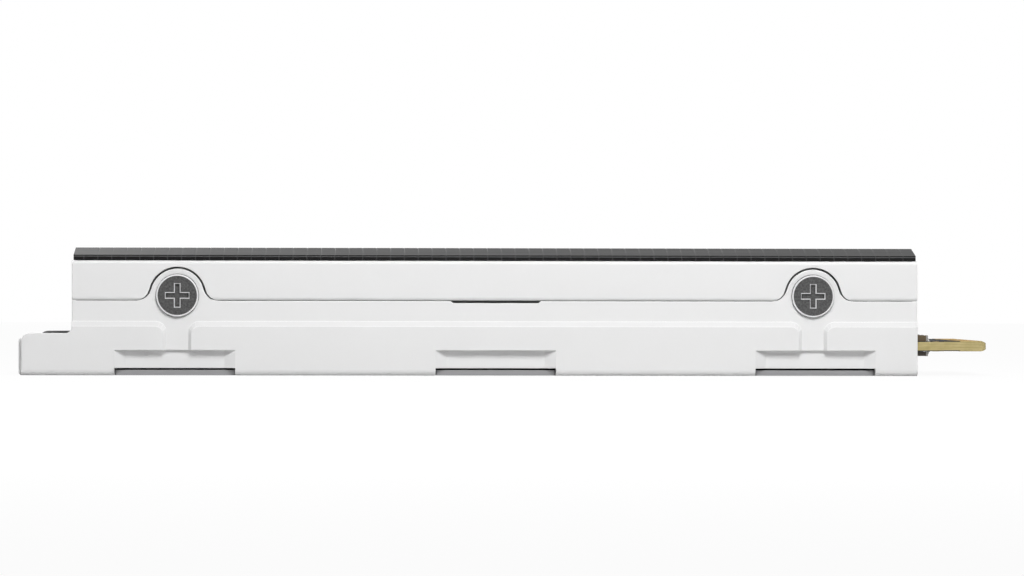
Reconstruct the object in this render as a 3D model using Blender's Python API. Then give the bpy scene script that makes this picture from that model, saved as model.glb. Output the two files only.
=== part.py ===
"""Gumstick solid state drive in a two piece metal heatsink.

A circuit card of the standard 22 by 80 size, with its chips, lies in a milled tray.
A heatsink block closes the tray and is held by four countersunk screws through its ears.
Units are metres, +Z is up and +X points out of the edge connector.
The origin is the middle of the whole length and width, on the surface the drive lies on.
"""

import math

import bmesh
import bpy
from mathutils import Matrix, Vector

MM = 0.001

# Circuit card
CARD_LENGTH = 80.0 * MM
CARD_WIDTH = 22.0 * MM
CARD_THICKNESS = 0.8 * MM
TONGUE_WIDTH = 19.85 * MM
TONGUE_LENGTH = 3.7 * MM
TIP_BEVEL = 0.3 * MM
TIP_BEVEL_DEPTH = 0.15 * MM
KEY_OFFSET = 6.125 * MM
KEY_WIDTH = 1.2 * MM
KEY_DEPTH = 3.5 * MM
SCREW_NOTCH_RADIUS = 1.75 * MM
TONGUE_CORNER = 0.5 * MM

# Metal on both faces of the card: contact fingers and a land round the mounting notch
METAL_RISE = 0.03 * MM
FINGER_PITCH = 0.5 * MM
FINGER_WIDTH = 0.35 * MM
FINGER_FROM_TIP = 2.15 * MM
FINGER_FROM_EDGE = 0.675 * MM
FINGER_FROM_KEY = 0.4 * MM
LAND_RADIUS = 2.75 * MM
LAND_INSET = 0.1 * MM

# Lengths along the drive
CARD_OVERHANG = 6.0 * MM
CARD_END_GAP = 0.2 * MM
PLATFORM_LENGTH = 4.37 * MM

# Heights of the tray, from the surface it lies on
BOTTOM_PLATE_THICKNESS = 0.44 * MM
ADHESIVE_ROOM = 0.16 * MM
FLOOR_THICKNESS = 0.4 * MM
CARD_STANDOFF = 1.05 * MM
PLATFORM_HEIGHT = 3.47 * MM
PLATFORM_CORNER = 0.85 * MM
PLATFORM_FILLET = 0.5 * MM
END_LIP_HEIGHT = 3.02 * MM
END_LIP_CORNER = 0.1 * MM
LEDGE_HEIGHT = 4.46 * MM
TRAY_HEIGHT = 6.15 * MM

# Walls of the tray
CARD_CLEARANCE = 0.1 * MM
WALL = 0.5 * MM
PANEL_RISE = 0.4 * MM
PANEL_SLOPE = 0.41 * MM
PANEL_END_INSET = 0.15 * MM
PANEL_END_ROUNDING = 0.22 * MM
RAIL_WIDTH = 0.7 * MM
PLATE_RIM = 0.7 * MM
SKIRT_WALL = 0.96 * MM
GROOVE_WIDTH = 1.8 * MM
GROOVE_SLOPE = 0.25 * MM
GROOVE_CORNER = 0.9 * MM
BOTTOM_ROUNDING = 0.45 * MM
UPRIGHT_ROUNDING = 0.06 * MM
END_ROUNDING = 0.3 * MM
STANDOFF_CUT_RADIUS = 3.3 * MM

# Pockets in the long sides, over the bottom plate
POCKET_FROM_BODY_END = 8.47 * MM
POCKET_LENGTH = 9.95 * MM
POCKET_TOP = 2.08 * MM
POCKET_DEPTH = 0.67 * MM
POCKET_END_SLOPE = 0.9 * MM
TAB_CLEARANCE = 0.1 * MM
TAB_SETBACK = 0.1 * MM

# Slot in the middle of the tray's upper edge
VENT_LENGTH = 7.45 * MM
VENT_DEPTH = 0.17 * MM
VENT_SLOPE = 0.2 * MM

# Ears and side screws
SCREW_FROM_BODY_END = 8.67 * MM
SCREW_HEIGHT = 6.59 * MM
EAR_RADIUS = 2.2 * MM
EAR_FLARE = 1.28 * MM
EAR_GAP = 0.16 * MM
SCREW_HEAD_RADIUS = 1.72 * MM
SCREW_HEAD_BEVEL = 0.1 * MM
SCREW_HEAD_RIM = 0.15 * MM
SCREW_HEAD_PROUD = 0.12 * MM
SCREW_SHANK_RADIUS = 1.0 * MM
SCREW_LENGTH = 4.0 * MM
SCREW_CLEARANCE = 0.05 * MM
SCREW_HOLE_ROOM = 0.25 * MM
RECESS_SPAN = 2.08 * MM
RECESS_ARM = 0.57 * MM
RECESS_DEPTH = 0.35 * MM
RECESS_TAPER = 0.72

# Heatsink and its top plate
HEATSINK_OVERHANG = 0.15 * MM
HEATSINK_SIDE = 3.30 * MM
HEATSINK_ROUNDING = 0.3 * MM
HEATSINK_END_EASE = 0.06 * MM
CORE_END_INSET = 0.3 * MM
CORE_CLEARANCE = 0.35 * MM
SEAM_GAP = 0.03 * MM
TOP_PLATE_INSET = 0.13 * MM
TOP_PLATE_SIDE = 0.45 * MM
TOP_PLATE_RISE = 0.6 * MM
TOP_PLATE_SLOPE = 3.0 * MM
TOP_PLATE_EDGE = 0.03 * MM

# Packages on the card: length along the drive, width across it and height
CONTROLLER = (13.0 * MM, 13.0 * MM)
FLASH_LENGTH = 12.0 * MM
FLASH_EDGE_MARGIN = 2.0 * MM
TOP_PACKAGE_HEIGHT = 1.0 * MM
LOWER_PACKAGE_HEIGHT = 0.75 * MM
PACKAGE_STEP = 0.25 * MM
PACKAGE_LIP = 0.3 * MM
UPPER_PAD_THICKNESS = 0.7 * MM
PAD_MARGIN = 1.0 * MM
POWER_CHIP = (5.0 * MM, 5.0 * MM, 0.8 * MM)
POWER_COIL = (2.5 * MM, 2.0 * MM, 0.95 * MM)
CRYSTAL = (3.2 * MM, 2.5 * MM, 0.7 * MM)
FILTER_CAPACITOR = (0.8 * MM, 1.6 * MM, 0.8 * MM)
FILTER_CAPACITORS = 6
FILTER_PITCH = 2.6 * MM
FILTER_FROM_CONTROLLER = 1.2 * MM
CONTROLLER_FROM_BODY_END = 15.6 * MM
FLASH_FROM_CONTROLLER = 17.5 * MM
FLASH_PITCH = 18.0 * MM
POWER_FROM_BODY_END = 5.0 * MM

# Places of the power parts across the card, as shares of its width
POWER_CHIP_SHARE = -0.29
COIL_SHARES = (-0.07, 0.075, 0.22)
CRYSTAL_SHARE = 0.40

# Rows of capacitors beside the connector
CAPACITOR_LENGTH = 1.1 * MM
CAPACITOR_WIDTH = 0.55 * MM
UPPER_CAPACITOR_HEIGHT = 0.5 * MM
LOWER_CAPACITOR_HEIGHT = 0.4 * MM
CAPACITOR_CAP = 0.17 * MM
CAPACITOR_TUCK = 0.08 * MM
RAIL_END_GAP = 0.3 * MM
CAPACITOR_CAP_RISE = 0.015 * MM
CAPACITOR_EDGE_GAP = 0.35 * MM
UPPER_CAPACITORS = 8
LOWER_CAPACITORS = 6

# Gap left where one piece is seated on another, and the small edge of a moulded part
SEAT = 0.02 * MM
MOULD_EDGE = 0.1 * MM

# Overshoot of the straight and of the sloped cutting solids
OVERCUT = 1.0 * MM
SLOPED_OVERCUT = 0.25 * MM

# Steps of round outlines and of rounded edges
SMALL_STEPS = 4
HALF_STEPS = 16
CROWN_STEPS = 24
ROUND_STEPS = 32
EDGE_STEPS = 3

# Places along the drive
TOTAL_LENGTH = CARD_LENGTH + CARD_END_GAP
TIP_X = TOTAL_LENGTH / 2
TRAY_LEFT = -TOTAL_LENGTH / 2
CARD_LEFT = TRAY_LEFT + CARD_END_GAP
TRAY_RIGHT = TIP_X - CARD_OVERHANG
BODY_LEFT = TRAY_LEFT + PLATFORM_LENGTH
BODY_MID = (BODY_LEFT + TRAY_RIGHT) / 2
PANEL_LEFT = TRAY_LEFT + PANEL_END_INSET
PLATE_LEFT = BODY_LEFT + PLATE_RIM
PLATE_RIGHT = TRAY_RIGHT - PLATE_RIM

# Heights
FLOOR_BOTTOM = BOTTOM_PLATE_THICKNESS + ADHESIVE_ROOM
FLOOR_TOP = FLOOR_BOTTOM + FLOOR_THICKNESS
CARD_BOTTOM = FLOOR_TOP + CARD_STANDOFF
CARD_TOP = CARD_BOTTOM + CARD_THICKNESS
HEATSINK_BOTTOM = CARD_TOP + TOP_PACKAGE_HEIGHT + UPPER_PAD_THICKNESS
SEAM_TOP = TRAY_HEIGHT + SEAM_GAP
HEATSINK_TOP = SEAM_TOP + HEATSINK_SIDE

# Distances from the middle plane
WALL_INNER = CARD_WIDTH / 2 + CARD_CLEARANCE
WALL_OUTER = WALL_INNER + WALL
PANEL_FACE = WALL_OUTER + PANEL_RISE
RAIL_INNER = WALL_INNER - RAIL_WIDTH
POCKET_FLOOR = PANEL_FACE - POCKET_DEPTH
PLATE_ROOM = PANEL_FACE - SKIRT_WALL
HEATSINK_FACE = WALL_OUTER + HEATSINK_OVERHANG
CORE_FACE = WALL_INNER - CORE_CLEARANCE
TOP_PLATE_HALF = HEATSINK_FACE - TOP_PLATE_INSET

SIDES = (("near", -1), ("far", 1))
ENDS = (("left", BODY_LEFT + SCREW_FROM_BODY_END), ("right", TRAY_RIGHT - SCREW_FROM_BODY_END))


def clear_scene():
    """Remove whatever the opened file holds."""
    for item in list(bpy.data.objects):
        bpy.data.objects.remove(item, do_unlink=True)


def add_material(name, colour, roughness, metallic):
    """One plain Principled finish."""
    material = bpy.data.materials.new(name)
    material.use_nodes = True
    shader = material.node_tree.nodes["Principled BSDF"]
    shader.inputs["Base Color"].default_value = (*colour, 1.0)
    shader.inputs["Roughness"].default_value = roughness
    shader.inputs["Metallic"].default_value = metallic
    material.diffuse_color = (*colour, 1.0)
    return material


def finish(piece, material):
    """Give a piece its material and smooth its round stretches."""
    piece.data.materials.clear()
    piece.data.materials.append(material)
    piece.data.shade_smooth()
    piece.data.set_sharp_from_angle(angle=math.radians(30))
    return piece


def object_from(bm, name):
    """Turn a bmesh into an object with faces that point out."""
    bmesh.ops.recalc_face_normals(bm, faces=bm.faces)
    mesh = bpy.data.meshes.new(name)
    bm.to_mesh(mesh)
    bm.free()
    item = bpy.data.objects.new(name, mesh)
    bpy.context.scene.collection.objects.link(item)
    return item


def arc(centre, radius, start, end, steps):
    """Points of a round stretch, with both its ends, angles in degrees."""
    points = []
    for step in range(steps + 1):
        angle = math.radians(start + (end - start) * step / steps)
        points.append((centre[0] + radius * math.cos(angle), centre[1] + radius * math.sin(angle)))
    return points


def mirrored(points):
    """The same outline on the other side of its second axis, in the same turning sense."""
    return [(-u, v) for u, v in reversed(points)]


def shifted(points, along):
    """An outline moved along its first axis."""
    return [(u + along, v) for u, v in points]


def placed(point, station, axis):
    """A flat point at a station along an axis, as a point in space."""
    u, v = point
    if axis == "X":
        return (station, u, v)
    if axis == "Y":
        return (u, station, v)
    return (u, v, station)


def loft(name, sections, axis):
    """Closed solid through outlines of equal point counts, each with its station on the axis."""
    bm = bmesh.new()
    rings = []
    for outline, station in sections:
        rings.append([bm.verts.new(placed(point, station, axis)) for point in outline])
    for lower, upper in zip(rings, rings[1:]):
        for index in range(len(lower)):
            follow = (index + 1) % len(lower)
            bm.faces.new((lower[index], lower[follow], upper[follow], upper[index]))
    bm.faces.new(rings[0])
    bm.faces.new(rings[-1])
    return object_from(bm, name)


def prism(name, outline, axis, start, end):
    """One outline pulled straight along an axis."""
    return loft(name, [(outline, start), (outline, end)], axis)


def box(name, low, high):
    """Rectangular block between two corners."""
    outline = [(low[0], low[1]), (high[0], low[1]), (high[0], high[1]), (low[0], high[1])]
    return prism(name, outline, "Z", low[2], high[2])


def rectangle(middle, width, height):
    """Rectangular outline round its middle."""
    u, v = middle
    half_u = width / 2
    half_v = height / 2
    return [(u - half_u, v - half_v), (u + half_u, v - half_v), (u + half_u, v + half_v), (u - half_u, v + half_v)]


def bevel_edges(item, width, segments=1, chosen=None):
    """Round or chamfer the edges that a test picks, or all of them."""
    bm = bmesh.new()
    bm.from_mesh(item.data)
    edges = [edge for edge in bm.edges if chosen is None or chosen(edge)]
    bmesh.ops.bevel(
        bm, geom=edges, offset=width, offset_type="OFFSET", segments=segments, profile=0.5,
        affect="EDGES", clamp_overlap=True)
    bm.to_mesh(item.data)
    bm.free()
    return item


def turned(name, profile, steps):
    """Solid of revolution round Z from (radius, height) points that start and end on the axis."""
    bm = bmesh.new()
    verts = [bm.verts.new((radius, 0.0, height)) for radius, height in profile]
    edges = [bm.edges.new(pair) for pair in zip(verts, verts[1:])]
    bmesh.ops.spin(
        bm, geom=verts + edges, axis=(0, 0, 1), cent=(0, 0, 0), angle=math.tau, steps=steps,
        use_merge=True)
    bmesh.ops.remove_doubles(bm, verts=bm.verts, dist=0.001 * MM)
    return object_from(bm, name)


def combine(target, tool, operation):
    """Join, cut or intersect with a tool, which is then gone."""
    modifier = target.modifiers.new("shape", "BOOLEAN")
    modifier.operation = operation
    modifier.solver = "EXACT"
    modifier.object = tool
    tool.hide_render = True
    tool.display_type = "WIRE"
    depsgraph = bpy.context.evaluated_depsgraph_get()
    shape = bpy.data.meshes.new_from_object(target.evaluated_get(depsgraph))
    target.modifiers.clear()
    target.data = shape
    bpy.data.objects.remove(tool, do_unlink=True)


def cut(target, tool):
    """Take the tool's volume out of the target."""
    combine(target, tool, "DIFFERENCE")


def is_upright(edge):
    """Whether an edge runs up and down."""
    return abs(edge.verts[0].co.z - edge.verts[1].co.z) > SEAT


def is_across(edge):
    """Whether an edge runs across the drive and not along it."""
    return abs(edge.verts[0].co.x - edge.verts[1].co.x) < SEAT


def face_out(item, x, side, height, distance):
    """Turn a piece made along Z so that its +Z end looks out of one long side."""
    item.rotation_euler = (-side * math.pi / 2, 0.0, 0.0)
    item.location = (x, side * distance, height)
    bpy.context.view_layer.update()
    return item


def ear_outline(radius, flare, base):
    """Omega shaped upper line of an ear, from right to left, centred on its screw."""
    flare_centre_z = base + flare
    rise = flare_centre_z - SCREW_HEIGHT
    reach = math.sqrt((radius + flare) ** 2 - rise ** 2)
    lean = math.degrees(math.atan2(rise, reach))
    right = arc((reach, flare_centre_z), flare, 270.0, 180.0 + lean, SMALL_STEPS)
    crown = arc((0.0, SCREW_HEIGHT), radius, lean, 180.0 - lean, CROWN_STEPS)
    return right + crown[1:-1] + mirrored(right)


def tray_silhouette():
    """Side view of the tray without its end lip, anticlockwise from its lower left corner."""
    points = arc((PANEL_LEFT + END_ROUNDING, END_ROUNDING), END_ROUNDING, 180.0, 270.0, SMALL_STEPS)
    points += [(TRAY_RIGHT, 0.0), (TRAY_RIGHT, TRAY_HEIGHT)]
    for _, screw_x in reversed(ENDS):
        points += shifted(ear_outline(EAR_RADIUS, EAR_FLARE, TRAY_HEIGHT), screw_x)
    points += [(BODY_LEFT, TRAY_HEIGHT)]
    fillet_centre = (BODY_LEFT - PLATFORM_FILLET, PLATFORM_HEIGHT + PLATFORM_FILLET)
    points += arc(fillet_centre, PLATFORM_FILLET, 0.0, -90.0, SMALL_STEPS)
    corner_centre = (PANEL_LEFT + PLATFORM_CORNER, PLATFORM_HEIGHT - PLATFORM_CORNER)
    points += arc(corner_centre, PLATFORM_CORNER, 90.0, 180.0, 2 * SMALL_STEPS)
    return points


def end_lip_outline():
    """Side view of the thinner lip that closes the tray's mounting end."""
    points = arc((TRAY_LEFT + END_ROUNDING, END_ROUNDING), END_ROUNDING, 180.0, 270.0, SMALL_STEPS)
    inside = PANEL_LEFT + PLATFORM_CORNER
    points += [(inside, 0.0), (inside, END_LIP_HEIGHT)]
    corner_centre = (TRAY_LEFT + END_LIP_CORNER, END_LIP_HEIGHT - END_LIP_CORNER)
    points += arc(corner_centre, END_LIP_CORNER, 90.0, 180.0, SMALL_STEPS)
    return points


def relief_outline(spread):
    """Area milled back above the ledge and in the groove under each screw, at a share of its slope."""
    top = TRAY_HEIGHT + 2 * EAR_RADIUS
    ledge = LEDGE_HEIGHT - PANEL_SLOPE * spread
    half = GROOVE_WIDTH / 2 + GROOVE_SLOPE * spread
    corner = GROOVE_CORNER - GROOVE_SLOPE * spread
    groove_end = POCKET_TOP - PANEL_SLOPE
    points = [(TRAY_LEFT - OVERCUT, ledge)]
    for _, screw_x in ENDS:
        points += arc((screw_x - half - corner, ledge - corner), corner, 90.0, 0.0, SMALL_STEPS)
        points += [(screw_x - half, groove_end), (screw_x + half, groove_end)]
        points += arc((screw_x + half + corner, ledge - corner), corner, 180.0, 90.0, SMALL_STEPS)
    points += [(TRAY_RIGHT + OVERCUT, ledge), (TRAY_RIGHT + OVERCUT, top)]
    points += [(TRAY_LEFT - OVERCUT, top)]
    return points


def relief_cutter(side):
    """Mill that leaves the raised panels with a sloped edge."""
    sections = [
        (relief_outline(0.0), side * WALL_OUTER),
        (relief_outline(1.0 + SLOPED_OVERCUT / PANEL_RISE), side * (PANEL_FACE + SLOPED_OVERCUT)),
    ]
    return loft("relief", sections, "Y")


def pocket_cutter(middle, side):
    """Pocket with a flat floor and a level top, whose ends slope in to the floor."""
    low = FLOOR_BOTTOM - TAB_CLEARANCE
    centre = (middle, (low + POCKET_TOP) / 2)
    spread = 2 * POCKET_END_SLOPE * (1.0 + SLOPED_OVERCUT / POCKET_DEPTH)
    floor_length = POCKET_LENGTH - 2 * POCKET_END_SLOPE
    sections = [
        (rectangle(centre, floor_length, POCKET_TOP - low), side * POCKET_FLOOR),
        (rectangle(centre, floor_length + spread, POCKET_TOP - low), side * (PANEL_FACE + SLOPED_OVERCUT)),
    ]
    return loft("pocket", sections, "Y")


def across(side, inner, outer):
    """Low and high ends of a stretch on one side of the middle plane."""
    return sorted((side * inner, side * outer))


def tab_window_cutter(middle, side):
    """Opening under a pocket that shows the edge of the bottom plate."""
    low, high = across(side, PLATE_ROOM - SLOPED_OVERCUT, PANEL_FACE + OVERCUT)
    half = POCKET_LENGTH / 2
    return box("window", (middle - half, low, -OVERCUT), (middle + half, high, FLOOR_BOTTOM))


def channel_cutter():
    """Inside of the tray: free room for the card over two rails."""
    top = TRAY_HEIGHT + 2 * EAR_RADIUS
    half = [
        (RAIL_INNER, FLOOR_TOP), (RAIL_INNER, CARD_BOTTOM - SEAT),
        (WALL_INNER, CARD_BOTTOM - SEAT), (WALL_INNER, top),
    ]
    return prism("channel", half + mirrored(half), "X", TRAY_LEFT - OVERCUT, TRAY_RIGHT + OVERCUT)


def plate_room_cutter():
    """Shallow recess under the tray for the bottom plate and its adhesive."""
    low = (PLATE_LEFT, -PLATE_ROOM, -OVERCUT)
    high = (PLATE_RIGHT, PLATE_ROOM, FLOOR_BOTTOM)
    return box("plate_room", low, high)


def standoff_cutter():
    """Round ended cut in the floor for the post that carries the card's end."""
    outline = arc((CARD_LEFT, 0.0), STANDOFF_CUT_RADIUS, -90.0, 90.0, HALF_STEPS)
    outline += [(TRAY_LEFT - OVERCUT, STANDOFF_CUT_RADIUS), (TRAY_LEFT - OVERCUT, -STANDOFF_CUT_RADIUS)]
    return prism("standoff_cut", outline, "Z", -OVERCUT, CARD_BOTTOM + OVERCUT)


def rail_end_cutter():
    """Room at the connector end for the lower row of capacitors."""
    low = (TRAY_RIGHT - RAIL_END_GAP, -WALL_INNER, FLOOR_TOP)
    return box("rail_end", low, (TRAY_RIGHT + OVERCUT, WALL_INNER, CARD_BOTTOM))


def vent_cutter():
    """Shallow slot with sloped ends in the middle of both upper edges."""
    half = VENT_LENGTH / 2
    base = TRAY_HEIGHT - VENT_DEPTH
    over = VENT_SLOPE / VENT_DEPTH
    outline = [
        (BODY_MID - half + VENT_SLOPE, base), (BODY_MID + half - VENT_SLOPE, base),
        (BODY_MID + half + over * OVERCUT, TRAY_HEIGHT + OVERCUT),
        (BODY_MID - half - over * OVERCUT, TRAY_HEIGHT + OVERCUT),
    ]
    return prism("vent", outline, "Y", -PANEL_FACE - OVERCUT, PANEL_FACE + OVERCUT)


def corner_outline(radius):
    """What rounding takes off a corner at the origin that points towards plus and plus."""
    points = [(OVERCUT, OVERCUT), (-radius, OVERCUT), (-radius, 0.0)]
    points += arc((-radius, -radius), radius, 90.0, 0.0, SMALL_STEPS)[1:]
    points += [(OVERCUT, -radius)]
    return points


def rounding_cutter(axis, corner, signs, radius, start, end):
    """Cutter that rounds one straight edge of a block."""
    outline = [(corner[0] + signs[0] * u, corner[1] + signs[1] * v) for u, v in corner_outline(radius)]
    return prism("rounding", outline, axis, start, end)


def round_tray_edges(tray, side):
    """Soften the long lower edge and the upright ends of one side."""
    right_end = TRAY_RIGHT + OVERCUT
    top = TRAY_HEIGHT + 2 * EAR_RADIUS
    ledge_base = LEDGE_HEIGHT - PANEL_SLOPE / 2
    cutters = [
        rounding_cutter("X", (side * PANEL_FACE, 0.0), (side, -1), BOTTOM_ROUNDING,
                        TRAY_LEFT - OVERCUT, right_end),
        rounding_cutter("Z", (TRAY_RIGHT, side * PANEL_FACE), (1, side), UPRIGHT_ROUNDING,
                        -OVERCUT, LEDGE_HEIGHT),
        rounding_cutter("Z", (TRAY_RIGHT, side * WALL_OUTER), (1, side), UPRIGHT_ROUNDING,
                        ledge_base, top),
        rounding_cutter("Z", (BODY_LEFT, side * WALL_OUTER), (-1, side), UPRIGHT_ROUNDING,
                        LEDGE_HEIGHT, top),
        rounding_cutter("Z", (PANEL_LEFT, side * PANEL_FACE), (-1, side), PANEL_END_ROUNDING,
                        -OVERCUT, PLATFORM_HEIGHT + OVERCUT),
        rounding_cutter("Z", (TRAY_LEFT, side * WALL_OUTER), (-1, side), UPRIGHT_ROUNDING,
                        -OVERCUT, PLATFORM_HEIGHT + OVERCUT),
    ]
    for cutter in cutters:
        cut(tray, cutter)


def screw_hole_profile():
    """Countersunk hole, measured from the screw head's face, with its clearance all round."""
    head = SCREW_HEAD_RADIUS + SCREW_CLEARANCE
    shank = SCREW_SHANK_RADIUS + SCREW_CLEARANCE
    rim_end = -SCREW_HEAD_RIM - SCREW_CLEARANCE
    cone_end = rim_end - (head - shank)
    bottom = -SCREW_LENGTH - SCREW_HOLE_ROOM
    opening = [(0.0, OVERCUT), (head, OVERCUT), (head, rim_end)]
    return opening + [(shank, cone_end), (shank, bottom), (0.0, bottom)]


def screw_hole_cutter(screw_x, side):
    """Countersink and bore for one side screw."""
    hole = turned("screw_hole", screw_hole_profile(), ROUND_STEPS)
    return face_out(hole, screw_x, side, SCREW_HEIGHT, WALL_OUTER + SCREW_HEAD_PROUD)


def pocket_middles():
    """Places of the three pockets along the drive."""
    return [BODY_LEFT + POCKET_FROM_BODY_END, BODY_MID, TRAY_RIGHT - POCKET_FROM_BODY_END]


def build_tray(material):
    """White tray, milled from one block."""
    tray = prism("lower_tray", tray_silhouette(), "Y", -PANEL_FACE, PANEL_FACE)
    combine(tray, prism("end_lip", end_lip_outline(), "Y", -WALL_OUTER, WALL_OUTER), "UNION")
    cut(tray, channel_cutter())
    cut(tray, rail_end_cutter())
    cut(tray, plate_room_cutter())
    cut(tray, standoff_cutter())
    cut(tray, vent_cutter())
    for _, side in SIDES:
        cut(tray, relief_cutter(side))
        for middle in pocket_middles():
            cut(tray, pocket_cutter(middle, side))
            cut(tray, tab_window_cutter(middle, side))
        for _, screw_x in ENDS:
            cut(tray, screw_hole_cutter(screw_x, side))
        round_tray_edges(tray, side)
    return finish(tray, material)


def rounded_rectangle(half, low, high, radius):
    """Rectangle round the middle plane, between two heights, with round corners."""
    u = half - radius
    points = arc((-u, low + radius), radius, 180.0, 270.0, SMALL_STEPS)
    points += arc((u, low + radius), radius, 270.0, 360.0, SMALL_STEPS)
    points += arc((u, high - radius), radius, 0.0, 90.0, SMALL_STEPS)
    points += arc((-u, high - radius), radius, 90.0, 180.0, SMALL_STEPS)
    return points


def ear_recess_cutter(screw_x, side):
    """Pocket in the heatsink's side that the tray's ear fills."""
    upper = ear_outline(EAR_RADIUS + EAR_GAP, EAR_FLARE - EAR_GAP, SEAM_TOP)
    below = SEAM_TOP - OVERCUT
    outline = shifted(upper + [(upper[-1][0], below), (upper[0][0], below)], screw_x)
    low, high = across(side, CORE_FACE, HEATSINK_FACE + OVERCUT)
    return prism("ear_recess", outline, "Y", low, high)


def build_heatsink(material):
    """White block: a rounded upper part and a core that reaches down between the walls."""
    profile = rounded_rectangle(HEATSINK_FACE, SEAM_TOP, HEATSINK_TOP, HEATSINK_ROUNDING)
    heatsink = prism("upper_heatsink", profile, "X", BODY_LEFT, TRAY_RIGHT)
    bevel_edges(heatsink, HEATSINK_END_EASE, EDGE_STEPS, is_across)
    low = (BODY_LEFT + CORE_END_INSET, -CORE_FACE, HEATSINK_BOTTOM)
    high = (TRAY_RIGHT - CORE_END_INSET, CORE_FACE, HEATSINK_TOP - HEATSINK_ROUNDING)
    combine(heatsink, box("core", low, high), "UNION")
    for _, side in SIDES:
        for _, screw_x in ENDS:
            cut(heatsink, ear_recess_cutter(screw_x, side))
            cut(heatsink, screw_hole_cutter(screw_x, side))
    return finish(heatsink, material)


def build_top_plate(material):
    """Dark plate with a shallow slope along each long edge."""
    base = HEATSINK_TOP + SEAT
    half = [
        (TOP_PLATE_HALF, base), (TOP_PLATE_HALF, base + TOP_PLATE_SIDE),
        (TOP_PLATE_HALF - TOP_PLATE_SLOPE, base + TOP_PLATE_SIDE + TOP_PLATE_RISE),
    ]
    start = BODY_LEFT + TOP_PLATE_INSET
    end = TRAY_RIGHT - TOP_PLATE_INSET
    plate = prism("top_plate", half + mirrored(half), "X", start, end)
    bevel_edges(plate, TOP_PLATE_EDGE)
    return finish(plate, material)


def tabbed_outline(inset):
    """Rectangle with three tabs a side that reach into the pocket windows."""
    left = PLATE_LEFT + inset
    right = PLATE_RIGHT - inset
    half_width = PLATE_ROOM - inset
    tab_face = POCKET_FLOOR - TAB_SETBACK
    half_tab = POCKET_LENGTH / 2 - inset
    near_side = [(left, -half_width)]
    for middle in pocket_middles():
        near_side += [
            (middle - half_tab, -half_width), (middle - half_tab, -tab_face),
            (middle + half_tab, -tab_face), (middle + half_tab, -half_width),
        ]
    near_side += [(right, -half_width)]
    return near_side + [(u, -v) for u, v in reversed(near_side)]


def build_bottom_plate(material):
    """Grey plate set flush into the underside."""
    plate = prism("bottom_plate", tabbed_outline(TAB_CLEARANCE), "Z", 0.0, BOTTOM_PLATE_THICKNESS)
    return finish(plate, material)


def build_adhesive(material):
    """Black double sided sheet over the bottom plate."""
    sheet = prism(
        "bottom_adhesive", tabbed_outline(TAB_CLEARANCE + SEAT), "Z",
        BOTTOM_PLATE_THICKNESS + SEAT, FLOOR_BOTTOM - SEAT)
    return finish(sheet, material)


def cross_outline(scale):
    """Plus shaped outline of the driver recess."""
    arm = scale * RECESS_ARM / 2
    reach = scale * RECESS_SPAN / 2
    points = []
    for turn in range(4):
        spin = Matrix.Rotation(turn * math.pi / 2, 2)
        points += [tuple(spin @ Vector(point)) for point in ((reach, -arm), (reach, arm), (arm, arm))]
    return points


def build_screw(name, screw_x, side, material):
    """Flat head screw with a tapered cross recess."""
    cone = SCREW_HEAD_RADIUS - SCREW_SHANK_RADIUS
    profile = [
        (0.0, 0.0), (SCREW_HEAD_RADIUS - SCREW_HEAD_BEVEL, 0.0), (SCREW_HEAD_RADIUS, -SCREW_HEAD_BEVEL),
        (SCREW_HEAD_RADIUS, -SCREW_HEAD_RIM), (SCREW_SHANK_RADIUS, -SCREW_HEAD_RIM - cone),
        (SCREW_SHANK_RADIUS, -SCREW_LENGTH + SCREW_HEAD_RIM),
        (SCREW_SHANK_RADIUS - SCREW_HEAD_RIM, -SCREW_LENGTH), (0.0, -SCREW_LENGTH),
    ]
    screw = turned(name, profile, ROUND_STEPS)
    top_scale = 1.0 + (1.0 - RECESS_TAPER) * SLOPED_OVERCUT / RECESS_DEPTH
    sections = [(cross_outline(RECESS_TAPER), -RECESS_DEPTH), (cross_outline(top_scale), SLOPED_OVERCUT)]
    cut(screw, loft("recess", sections, "Z"))
    face_out(screw, screw_x, side, SCREW_HEIGHT, WALL_OUTER + SCREW_HEAD_PROUD)
    return finish(screw, material)


def card_outline():
    """Plan of the card: mounting notch, shoulders, tongue and the key slot."""
    half = CARD_WIDTH / 2
    tongue = TONGUE_WIDTH / 2
    shoulder = TIP_X - TONGUE_LENGTH
    key_radius = KEY_WIDTH / 2
    key_centre = (TIP_X - KEY_DEPTH + key_radius, KEY_OFFSET)
    points = [(CARD_LEFT, -half), (shoulder, -half), (shoulder, -tongue)]
    near_corner = (TIP_X - TONGUE_CORNER, TONGUE_CORNER - tongue)
    far_corner = (TIP_X - TONGUE_CORNER, tongue - TONGUE_CORNER)
    points += arc(near_corner, TONGUE_CORNER, -90.0, 0.0, SMALL_STEPS)
    points += [(TIP_X, KEY_OFFSET - key_radius)]
    points += arc(key_centre, key_radius, 270.0, 90.0, SMALL_STEPS)
    points += [(TIP_X, KEY_OFFSET + key_radius)]
    points += arc(far_corner, TONGUE_CORNER, 0.0, 90.0, SMALL_STEPS)
    points += [(shoulder, tongue)]
    points += [(shoulder, half), (CARD_LEFT, half)]
    points += arc((CARD_LEFT, 0.0), SCREW_NOTCH_RADIUS, 90.0, -90.0, HALF_STEPS)
    return points


def card_level(face):
    """Height of the card's upper or lower face."""
    return CARD_TOP if face > 0 else CARD_BOTTOM


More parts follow.
